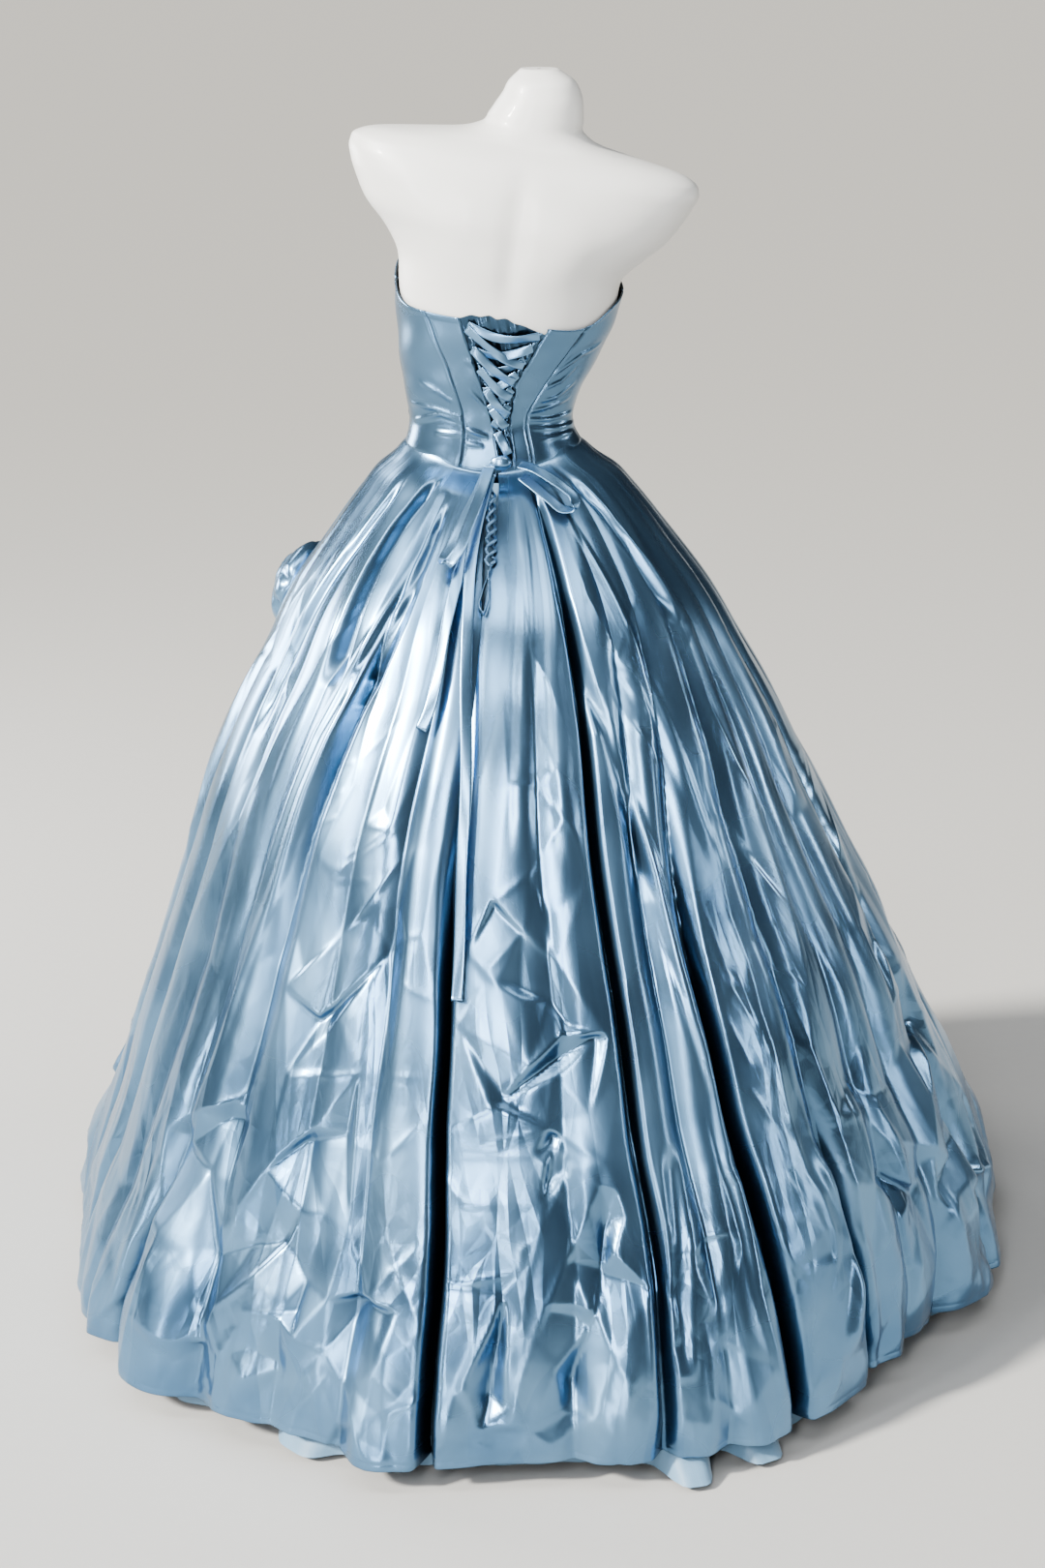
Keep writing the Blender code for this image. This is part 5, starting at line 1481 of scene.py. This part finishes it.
def skirt_cloth(first, last, columns, rows, facets, lines):
    """Grid of one skirt panel between two valleys, tucked in at the waist, its hem turned under."""
    sizes = bpy.context.scene.gown_sizes
    hem_rows = 1 - np.linspace(sizes.hem * 1.25, 0, 8) / SKIRT_LENGTH
    waist_rows = np.linspace(0, 0.03, 9, endpoint=False)
    drops = np.r_[waist_rows, np.linspace(0.03, hem_rows[0], rows, endpoint=False), hem_rows][:, None]
    across = np.linspace(0, 1, columns)[None, :]
    start, end = fold_azimuth(first, drops), fold_azimuth(last, drops)
    start, end = start + edge_gap(first, drops, start), end - edge_gap(last, drops, end)
    azimuth = start + (end - start) * across
    drop = np.broadcast_to(drops, azimuth.shape)
    height = skirt_height(azimuth, drop)
    radius = skirt_radius(azimuth, height)
    inset, swell = np.zeros(azimuth.shape), np.zeros(azimuth.shape)
    for fold in range(first, last + 1):
        here = fold_azimuth(fold, drops)
        half = fold_half_angle(fold, drops, radius)
        depth = fold_depth(fold, drops)
        full = ramp(depth, DEEP_FOLD, DEEP_FOLD_RANGE)
        soften = FOLD_SOFTENING[0] + (FOLD_SOFTENING[1] - FOLD_SOFTENING[0]) * drops
        depth = depth * np.minimum(1, (depth / FULL_FOLD) ** soften) * (1 + DEEPENING * full)
        half = half * (1 - NARROWING * full)
        inset = np.maximum(inset, depth * valley((azimuth - here) / half))
        t = np.clip((azimuth - here) / (fold_azimuth(fold + 1, drops) - here), 0, 1)
        swell += 4 * t * (1 - t) * fold_swell(fold)
    places = np.array([fold_place(line, at) for line, at in zip(azimuth, drops[:, 0])])
    lift = read_map(facets, places / len(FOLDS), drop) + read_map(lines, azimuth / 360, height / MAP_TOP)
    lift = lift * np.clip(drop / 0.04, 0.1, 1) + sizes.bulge * swell * np.clip(drop / 0.3, 0.1, 1)
    groove = np.exp(-(((1 - drop) * SKIRT_LENGTH - sizes.hem) / HEM_GROOVE_WIDTH) ** 2)
    points = skirt_point(azimuth, drop, inset - lift + HEM_GROOVE * groove)
    # The waist end is drawn in to the bodice, and its allowance runs up behind it.
    seam = body_point(azimuth, np.minimum(height, waist_edge(azimuth)), FORM_TO_BODICE + 0.0006)
    tuck = np.clip(1 - drop / WAIST_TUCK, 0, 1)[..., None] ** 2
    points = points * (1 - tuck) + seam * tuck
    upper = body_point(azimuth[0], height[0] + 0.006, FORM_TO_BODICE + 0.0004)
    inward = -unit_rows(points[-1] * (1, 1, 0))
    turned = [
        points[-1] + inward * 0.0009 + (0, 0, -0.0004),
        points[-1] + inward * 0.0018 + (0, 0, 0.0006),
        points[-1] + inward * 0.0021 + (0, 0, sizes.hem * 0.9),
    ]
    points = np.concatenate([upper[None], points, np.array(turned)])
    cloth = np.stack([np.radians(azimuth) * SKIRT_CLOTH_RADIUS, drop * SKIRT_LENGTH], -1)
    under = [cloth[-1:] + (0, further) for further in (0.001, 0.002, 0.01)]
    return points, np.concatenate([cloth[:1] - (0, 0.006), cloth, *under])


def fold_swell(fold):
    """How full the fold after a valley is: fuller beside deep valleys."""
    turn = len(FOLDS)
    return 0.15 + 0.85 * min(1, (FOLDS[fold % turn, 4] + FOLDS[(fold + 1) % turn, 4]) / 0.055)


class GOWN_OT_form(bpy.types.Operator):
    """Smooth limbless torso, and the finish of its pole and base"""

    bl_idname = "gown.form"
    bl_label = "Dress form"

    def execute(self, context):
        colours = context.scene.gown_colours
        skin = kept_material("plastic_moulded_sprayed", sprayed_plastic, colours.form)
        steel = kept_material("steel_powder_coated", powder_coated_steel, colours.steel)
        heights = np.r_[np.linspace(BODY[0, 0], 1.42, 110), np.linspace(1.423, BODY[-1, 0], 70)]
        around = np.radians(np.arange(0, 360, 2.5))
        _, _, half_width, back, front, _ = body_row(heights[:, None])
        depth = np.where(np.cos(around) > 0, back, front)
        azimuth = np.degrees(np.arctan2(half_width * np.sin(around), depth * np.cos(around)))
        height = np.broadcast_to(heights[:, None], azimuth.shape)
        bare = ramp(height, BACK_FROM, 0.04) * np.clip((BACK_TO - height) / 0.05, 0, 1)
        spine = np.exp(-(azimuth / SPINE_HALF_ANGLE) ** 2)
        across = (np.abs(azimuth) - BLADE_AZIMUTH) / BLADE_HALF_ANGLE
        blades = np.exp(-across ** 2 - ((height - BLADE_Z) / BLADE_HALF_HEIGHT) ** 2)
        points = body_point(azimuth, height, bare * (BLADE_RISE * blades - SPINE_DEPTH * spine))
        middle = points[-1].mean(axis=0)
        flat_top = [middle + (points[-1] - middle) * share for share in (0.90, 0.5, 0.1)]
        points = np.concatenate([points, np.array(flat_top)])
        torso = add_piece("torso_shell", points, capped_faces(len(points), len(around)), skin)
        stand_for("form_torso")
        for node in ("form_pole", "form_base"):
            slots = bpy.data.objects[node].data.materials
            slots.clear()
            slots.append(steel)
        return {"FINISHED"}


class GOWN_OT_underskirt(bpy.types.Operator):
    """Six gores of lining, whose flutes show under the hem"""

    bl_idname = "gown.underskirt"
    bl_label = "Underskirt"

    def execute(self, context):
        lining = kept_material("acetate_habotai_woven", woven_lining)
        drops = np.r_[np.linspace(0, 0.9, 60, endpoint=False), np.linspace(0.9, 1, 30)]
        for name, start, end in UNDER_GORES:
            columns = np.linspace(start + UNDER_SEAM_HALF_GAP, end - UNDER_SEAM_HALF_GAP, 100)
            azimuth, drop = np.meshgrid(columns, drops)
            points = underskirt_points(azimuth, drop)
            cloth = np.stack([np.radians(azimuth) * UNDER_CLOTH_RADIUS, drop * UNDER_LENGTH], -1)
            middle = math.radians((start + end) / 2)
            outward = (math.sin(middle), math.cos(middle), 0)
            gore = add_cloth("lining_" + name, points, lining, cloth, outward)
            stand_for(name)
        return {"FINISHED"}


def underskirt_points(azimuth, drop):
    top = waist_edge(azimuth) - UNDER_TOP_DROP
    height = top + (UNDER_HEM_Z - top) * drop
    inset = np.interp(drop, *np.array(UNDER_INSET).T)
    wave = UNDER_WAVE * drop * np.sin(np.radians(azimuth * UNDER_WAVES + 40))
    ripple = np.sin(np.radians(azimuth * 47 + 60 * drop))
    soft = UNDER_RIPPLE * drop * ripple * np.sin(np.radians(azimuth * 31) + 9 * drop)
    swing = np.zeros(azimuth.shape)
    for flute_az, half_width, reach in FLUTES:
        x = signed(azimuth - flute_az) / half_width
        swing += reach * np.exp(-(x / FLUTE_FULLNESS) ** 4) * ramp(drop, FLUTE_START, 1 - FLUTE_START)
    radius = skirt_radius(azimuth, height) + hem_swing(azimuth, drop) - inset + wave + soft + swing
    return round_point(azimuth, radius, height)


class GOWN_OT_skirt(bpy.types.Operator):
    """Three panels of satin in deep folds, crushed into facets and crisp creases"""

    bl_idname = "gown.skirt"
    bl_label = "Skirt"

    def execute(self, context):
        sizes = context.scene.gown_sizes
        rng = np.random.default_rng(FACET_SEED)
        creases = spread_creases(rng)
        facets, lines = facet_map(creases, sizes.facet, rng), line_map(creases, sizes.crease, rng)
        for name, first, last, columns, rows, width, length, area in SKIRT_PANELS:
            points, cloth = skirt_cloth(first, last, columns, rows, facets, lines)
            middle = points[len(points) // 2, columns // 2] * (1, 1, 0)
            panel = add_cloth("satin_" + name, points, satin(), cloth, middle)
            stand_for(name)
        return {"FINISHED"}


def pulled_creases(azimuth, height):
    """Relief of the bodice's pulled creases."""
    relief = np.zeros(azimuth.shape)
    around = signed(azimuth)
    for rank, *row in BODICE_CREASES:
        line = crease_points(row)
        line[:, 0] = signed(line[:, 0]) if abs(line[0, 0]) < 160 else line[:, 0]
        lengths = np.linalg.norm(np.diff(line * (METRES_A_DEGREE, 1), axis=0), axis=1)
        start = 0.0
        for p, q, step in zip(line[:-1], line[1:], lengths):
            turn = azimuth if line[:, 0].max() > 180 else around
            x, y = (turn - p[0]) * METRES_A_DEGREE, height - p[1]
            passed, off = beside_line(x, y, (q - p) * (METRES_A_DEGREE, 1), step)
            share = (start + passed) / lengths.sum()
            ridge = rank * PULL_RISE * (4 * share * (1 - share) + 0.05) ** 0.5
            hollow = 0.35 * np.exp(-(off / PULL_HOLLOW_WIDTH) ** 2)
            ridge = ridge * (np.exp(-(off / PULL_WIDTH) ** 2) - hollow)
            relief = np.where(np.abs(ridge) > np.abs(relief), ridge, relief)
            start += step
    return relief


def bodice_cloth(low_seam, high_seam, columns, rows):
    """Grid of one bodice panel: rolled into its seams, bound along the top, creased between."""
    sizes = bpy.context.scene.gown_sizes
    across, up = np.meshgrid(np.linspace(0, 1, columns), np.linspace(1, 0, rows))
    height = np.full(across.shape, 1.2)
    gap = np.degrees(SEAM_GAP / 2 / 0.1)
    for _ in range(8):
        low, high = seam_azimuth(low_seam, height), seam_azimuth(high_seam, height)
        low, high = low + gap, np.where(high < low, high + 360, high) - gap
        azimuth = low + (high - low) * across
        bottom, top = waist_edge(azimuth) - 0.0025, top_edge(azimuth)
        height = bottom + (top - bottom) * up
    outer = FORM_TO_BODICE + SATIN
    from_edge = np.minimum(azimuth - low, high - azimuth) * EDGE_METRES_A_DEGREE
    from_top = top - height
    lift = -SEAM_ROLL * np.exp(-from_edge / SEAM_ROLL_WIDTH)
    lift += BONE_RIDGE * np.clip(1 - np.abs(from_edge - BONE_FROM_SEAM) / BONE_HALF_WIDTH, 0, 1)
    lift += pulled_creases(azimuth, height) * np.clip(from_edge / 0.004, 0.3, 1)
    lift += UNDULATION * np.sin(azimuth * 0.11 + height * 62) * np.sin(height * 48 - azimuth * 0.04 + 1.2)
    lift += BINDING_RISE * np.clip((sizes.binding - from_top) / BINDING_EDGE, 0, 1)
    lift -= WAIST_ROLL * np.exp(-((height - bottom) / WAIST_ROLL_WIDTH))
    points = body_point(azimuth, height, outer + lift)
    brim = [body_point(azimuth[0], height[0] + rise, outer + lift[0] + out)
            for rise, out in ((0.0010, -0.0006), (0.0012, -0.0014), (0.0002, -0.0022), (-0.008, -0.0024))]
    points = np.concatenate([np.array(brim)[::-1], points])
    cloth = np.stack([np.radians(azimuth) * BODICE_CLOTH_RADIUS, top - height], -1)
    over = [cloth[:1] - (0, further) for further in (0.010, 0.004, 0.002, 0.001)]
    return points, np.concatenate([*over, cloth])


class GOWN_OT_bodice(bpy.types.Operator):
    """Seven boned panels with a bound top edge, and the modesty panel behind the lacing"""

    bl_idname = "gown.bodice"
    bl_label = "Bodice"

    def execute(self, context):
        for name, low_seam, high_seam, columns, width, length, area in BODICE_PANELS:
            points, cloth = bodice_cloth(low_seam, high_seam, columns, BODICE_ROWS)
            middle = points[BODICE_ROWS // 2, columns // 2]
            middle = middle - (BODY_AXIS_X, 0, middle[2])
            panel = add_cloth("satin_" + name, points, bodice_satin(), cloth, middle)
            stand_for(name)
        across, up = np.meshgrid(np.linspace(-1, 1, 90), np.linspace(1, 0, 110))
        azimuth = MODESTY_MIDDLE + across * (MODESTY_HALF_FOOT + (MODESTY_HALF_TOP - MODESTY_HALF_FOOT) * up)
        fall = np.array(MODESTY_FALL)
        brim = MODESTY_TOP - smooth_lookup(fall[:, 0], fall[:, 1], azimuth)
        height = MODESTY_TUCK + (brim - MODESTY_TUCK) * up
        wave = 0.0009 * np.sin(azimuth * 0.35 + height * 160) * np.sin(azimuth * 0.11 - height * 90 + 1.0)
        wave += 0.0006 * np.sin(azimuth * 0.9 - height * 220)
        points = body_point(azimuth, height, FORM_TO_MODESTY + RIBBON + wave)
        cloth = np.stack([np.radians(azimuth) * MODESTY_CLOTH_RADIUS, height], -1)
        modesty = add_cloth("satin_modesty_panel", points, modesty_satin(), cloth, (0, 1, 0))
        stand_for("modesty_panel")
        return {"FINISHED"}


def loop_row(side, count):
    """Rouleau loops in a row down one back edge of the bodice."""
    shells = []
    outwards = -1 if side == "left" else 1
    for k in range(count):
        middle = LOOPS_TOP - (LOOPS_TOP - LOOPS_FOOT) * (k + 0.5) / count
        turn = np.linspace(-100, 100, 13)
        height = middle - LOOP_HALF_HEIGHT * np.sin(np.radians(turn))
        reach = LOOP_START + LOOP_REACH * np.cos(np.radians(turn))
        azimuth = seam_azimuth("edge_" + side, height) + outwards * reach
        lift = LOOPS_LIFT - 0.0016 + 0.0012 * np.cos(np.radians(turn))
        shells.append(rouleau(body_point(azimuth, height, lift), LOOPS_RADIUS))
    return shells


class GOWN_OT_lacing(bpy.types.Operator):
    """Ribbon lacing, slack at the top and steep below, and the loops it runs through"""

    bl_idname = "gown.lacing"
    bl_label = "Lacing"

    def execute(self, context):
        for label, strands, lift in (("over", LACE_OVER, OVER_LIFT), ("under", LACE_UNDER, UNDER_LIFT)):
            for number, (left_az, left_z, right_az, right_z) in enumerate(strands):
                t = np.linspace(0, 1, 60)
                hump = np.sin(np.pi * t)
                azimuth = left_az + (right_az - left_az) * t
                height = left_z + (right_z - left_z) * t - LACE_SAG[label][number] * hump
                dip = LACE_DIP * (1 - hump ** 0.35)
                out = body_normal(azimuth, height)
                path = body_point(azimuth, height) + out * (lift + LACE_STAGGER * (number % 2) - dip)[:, None]
                roll = np.radians(LACE_ROLL[label][number]) * np.sin(2 * np.pi * t)
                across = across_rolled(path, out, roll)
                facing = np.dot(np.cross(np.gradient(path, axis=0)[30], across[30]), out[30])
                cup = LACE_CUP if facing > 0 else -LACE_CUP
                strand = add_ribbon(f"lace_{label}_{number + 1}", path, across, LACE_WIDTH, cup)
        for side in ("left", "right"):
            add_cords("loops_" + side, loop_row(side, LOOPS_EACH_SIDE))
        return {"FINISHED"}


def skirt_path(table, count):
    """Path over the skirt through (azimuth, height, lift) rows, with the outward directions."""
    frames = [skirt_frame(*row) for row in table]
    path = curve_through([point for point, _ in frames], count)
    out = curve_through([normal for _, normal in frames], count)
    return path, unit_rows(out)


def curve_through(points, count):
    """Evenly numbered points on a smooth curve through the given ones."""
    points = np.asarray(points, float)
    steps = lengths_along(points)
    at = np.linspace(0, steps[-1], count)
    return np.stack([smooth_lookup(steps, points[:, k], at) for k in range(3)], -1)


class GOWN_OT_bow(bpy.types.Operator):
    """Knot, two loops and two free ends of ribbon at the waist"""

    bl_idname = "gown.bow"
    bl_label = "Bow"

    def execute(self, context):
        for name, table, count in (("bow_tail_long", TAIL_LONG, 120), ("bow_tail_short", TAIL_SHORT, 80)):
            path, out = skirt_path(table, count)
            t = np.linspace(0, 1, count)
            roll = np.radians(TAIL_ROLL) * np.sin(t * 9 + len(name)) * np.clip(t * 4, 0, 1)
            tail = add_ribbon(name, path, across_rolled(path, out, roll), RIBBON_WIDTH, TAIL_CUP)
        for name, table in (("bow_loop_left", LOOP_LEFT), ("bow_loop_right", LOOP_RIGHT)):
            path, out = skirt_path(table, 80)
            chord = unit(path[len(path) // 2] - path[0])
            plane = unit(np.cross(chord, out[len(out) // 2]))
            across = np.repeat(plane[None], len(path), axis=0)
            loop = add_ribbon(name, path, across, RIBBON_WIDTH)
        centre, out = skirt_frame(BOW_AZIMUTH, BOW_Z, KNOT_LIFT)
        turn, tilt = np.meshgrid(np.radians(np.arange(0, 360, 6)), np.radians(np.linspace(-88, 88, 40)))
        pinch = 1 - 0.10 * np.abs(np.sin(2.5 * turn + 0.6)) * np.cos(tilt)
        ball = np.stack(
            [np.sin(tilt), np.cos(tilt) * np.cos(turn) * pinch, np.cos(tilt) * np.sin(turn) * pinch], -1,
        )
        points = centre + ball * np.array(KNOT_HALF)
        cloth = np.stack([turn * 0.01, tilt * 0.01], -1)
        knot = add_piece("ribbon_bow_knot", points, capped_faces(*turn.shape), ribbon_satin(), cloth)
        stand_for("bow_knot")
        return {"FINISHED"}


class GOWN_OT_slit(bpy.types.Operator):
    """Loops down the slit of the skirt, and the ribbon end under them"""

    bl_idname = "gown.slit"
    bl_label = "Slit"

    def execute(self, context):
        t = np.linspace(0, 1, SLIT_LOOPS * 16 + 1)
        height = SLIT_LOOPS_TOP + (SLIT_LOOPS_FOOT - SLIT_LOOPS_TOP) * t
        strands = []
        for way in (1, -1):
            wave = t * SLIT_LOOPS * math.pi
            azimuth = SLIT_LOOPS_AZIMUTH + way * SLIT_LOOPS_SWING * np.sin(wave)
            lift = SLIT_LOOPS_LIFT + way * SLIT_LOOPS_RADIUS * np.cos(wave)
            path = np.array([skirt_frame(*row)[0] for row in zip(azimuth, height, lift)])
            strands.append(rouleau(path, SLIT_LOOPS_RADIUS))
        add_cords("slit_loops", strands)
        path, out = skirt_path(SLIT_END, 90)
        across = unit_rows(np.cross(out, np.gradient(path, axis=0)) + 0.8 * out)
        end = add_ribbon("slit_end", path, across, SLIT_END_WIDTH)
        return {"FINISHED"}


class GOWN_OT_rosette(bpy.types.Operator):
    """Rosette of one rolled strip of satin on the wearer's left hip"""

    bl_idname = "gown.rosette"
    bl_label = "Rosette"

    def execute(self, context):
        centre, out = skirt_frame(ROSETTE_AZIMUTH, ROSETTE_Z, ROSETTE_LIFT)
        side = unit(np.cross(out, np.array([0.0, 0.0, 1.0])))
        up = np.cross(side, out)
        share = np.linspace(0, 1, int(ROSETTE_TURNS * 64) + 1)
        rise = np.linspace(0, 1, 18)
        lines = np.array(ROSETTE_LINES)
        swing = smooth_lookup(lines[:, 0], lines[:, 1], rise)[:, None]
        rise = rise[:, None]
        turn = share * ROSETTE_TURNS * 2 * math.pi
        base = ROSETTE_CORE + (ROSETTE_RIM - ROSETTE_CORE) * share
        tall = ROSETTE_DEPTH_CORE + (ROSETTE_DEPTH_RIM - ROSETTE_DEPTH_CORE) * share
        tall = tall + ROSETTE_RIPPLE * np.sin(turn * 1.37)
        pleats = ROSETTE_PLEATS * np.sin(turn * 7.3 + 1.0) * (0.3 + rise)
        radius = base + swing * (0.35 + 0.65 * share) + pleats
        for at, level, depth in ROSETTE_DENTS:
            slant = ((turn - at) * ROSETTE_RIM + (rise - level) * 0.012) / 0.0060
            radius = radius - depth * np.exp(-slant ** 2 - ((rise - level) * tall / 0.0085) ** 2)
        across, upright = radius * np.cos(turn), radius * np.sin(turn)
        level = rise * tall - across ** 2 / (2 * ROSETTE_SEAT) * (1 - rise)
        points = centre + across[..., None] * side + upright[..., None] * up + level[..., None] * out
        cloth = np.stack(np.broadcast_arrays(turn * 0.03, rise * 0.04), -1)
        flower = add_cloth("satin_rosette", points, ribbon_satin(), cloth)
        wall = flower.modifiers.new("cloth", "SOLIDIFY")
        wall.thickness = context.scene.gown_sizes.cloth
        wall.offset = 0.0
        stand_for("rosette")
        return {"FINISHED"}


def aim(thing, place, target):
    """Places a light or camera and points it."""
    thing.location = place
    thing.rotation_euler = (Vector(target) - Vector(place)).to_track_quat("-Z", "Y").to_euler()


class GOWN_OT_stage(bpy.types.Operator):
    """Plain pale floor, soft studio lights and the camera"""

    bl_idname = "gown.stage"
    bl_label = "Stage"

    def execute(self, context):
        colours = context.scene.gown_colours
        bpy.ops.mesh.primitive_plane_add(size=90.0, location=(0, 0, -0.0002))
        floor = context.object
        floor.name = "studio_floor"
        paint, tree, shader = blank_material("paper_plain_rolled", Roughness=0.9)
        place = add_node(tree, "ShaderNodeTexCoord").outputs["Object"]
        fibre = add_node(tree, "ShaderNodeTexNoise", {"Vector": place, "Scale": 60.0, "Detail": 2.0})
        tint = add_node(
            tree, "ShaderNodeMapRange",
            {"Value": fibre.outputs[0], "From Min": 0.3, "From Max": 0.7, "To Min": 0.985, "To Max": 1.0},
        )
        tone = add_node(
            tree, "ShaderNodeVectorMath", {0: tuple(colours.floor)[:3], "Scale": tint.outputs[0]},
            operation="SCALE",
        )
        tree.links.new(tone.outputs[0], shader.inputs["Base Color"])
        floor.data.materials.append(paint)
        for name, kind, place, target, size, power, tone in LIGHTS:
            data = bpy.data.lights.new(name, kind)
            data.energy = power
            data.color = linear(tone)[:3]
            if kind == "AREA":
                data.shape = "RECTANGLE"
                data.size, data.size_y = size
            else:
                data.angle = math.radians(size[0])
            light = bpy.data.objects.new(name, data)
            context.scene.collection.objects.link(light)
            aim(light, place, target)
        world = bpy.data.worlds.new("studio_grey")
        world.use_nodes = True
        world.node_tree.nodes["Background"].inputs["Color"].default_value = linear("#C9CED4")
        world.node_tree.nodes["Background"].inputs["Strength"].default_value = WORLD_STRENGTH
        context.scene.world = world
        data = bpy.data.cameras.new("camera")
        data.sensor_fit = "VERTICAL"
        data.sensor_height = 36.0
        data.lens = CAMERA_LENS
        data.clip_end = 200.0
        camera = bpy.data.objects.new("camera", data)
        context.scene.collection.objects.link(camera)
        camera.location = CAMERA_PLACE
        camera.rotation_euler = (math.radians(90 - CAMERA_TILT), 0.0, math.radians(180))
        context.scene.camera = camera
        return {"FINISHED"}


class GOWN_PT_panel(bpy.types.Panel):
    """Sizes, colours and build steps of the gown"""

    bl_idname = "GOWN_PT_panel"
    bl_label = "Ball gown"
    bl_space_type = "VIEW_3D"
    bl_region_type = "UI"
    bl_category = "Gown"

    def draw(self, context):
        for group in (context.scene.gown_sizes, context.scene.gown_colours):
            box = self.layout.box()
            for name in group.bl_rna.properties.keys():
                if name not in ("rna_type", "name"):
                    box.prop(group, name)
        for step in STEPS:
            self.layout.operator(step.bl_idname)


STEPS = (
    GOWN_OT_stage, GOWN_OT_bow, GOWN_OT_form, GOWN_OT_underskirt, GOWN_OT_skirt,
    GOWN_OT_bodice, GOWN_OT_lacing, GOWN_OT_slit, GOWN_OT_rosette,
)
CLASSES = (GownSizes, GownColours, *STEPS, GOWN_PT_panel)


def register():
    for part in CLASSES:
        bpy.utils.register_class(part)
    bpy.types.Scene.gown_sizes = bpy.props.PointerProperty(type=GownSizes)
    bpy.types.Scene.gown_colours = bpy.props.PointerProperty(type=GownColours)


def unregister():
    del bpy.types.Scene.gown_colours
    del bpy.types.Scene.gown_sizes
    for part in reversed(CLASSES):
        bpy.utils.unregister_class(part)


def main():
    register()
    for step in STEPS:
        group, name = step.bl_idname.split(".")
        getattr(getattr(bpy.ops, group), name)()


if __name__ == "__main__":
    main()
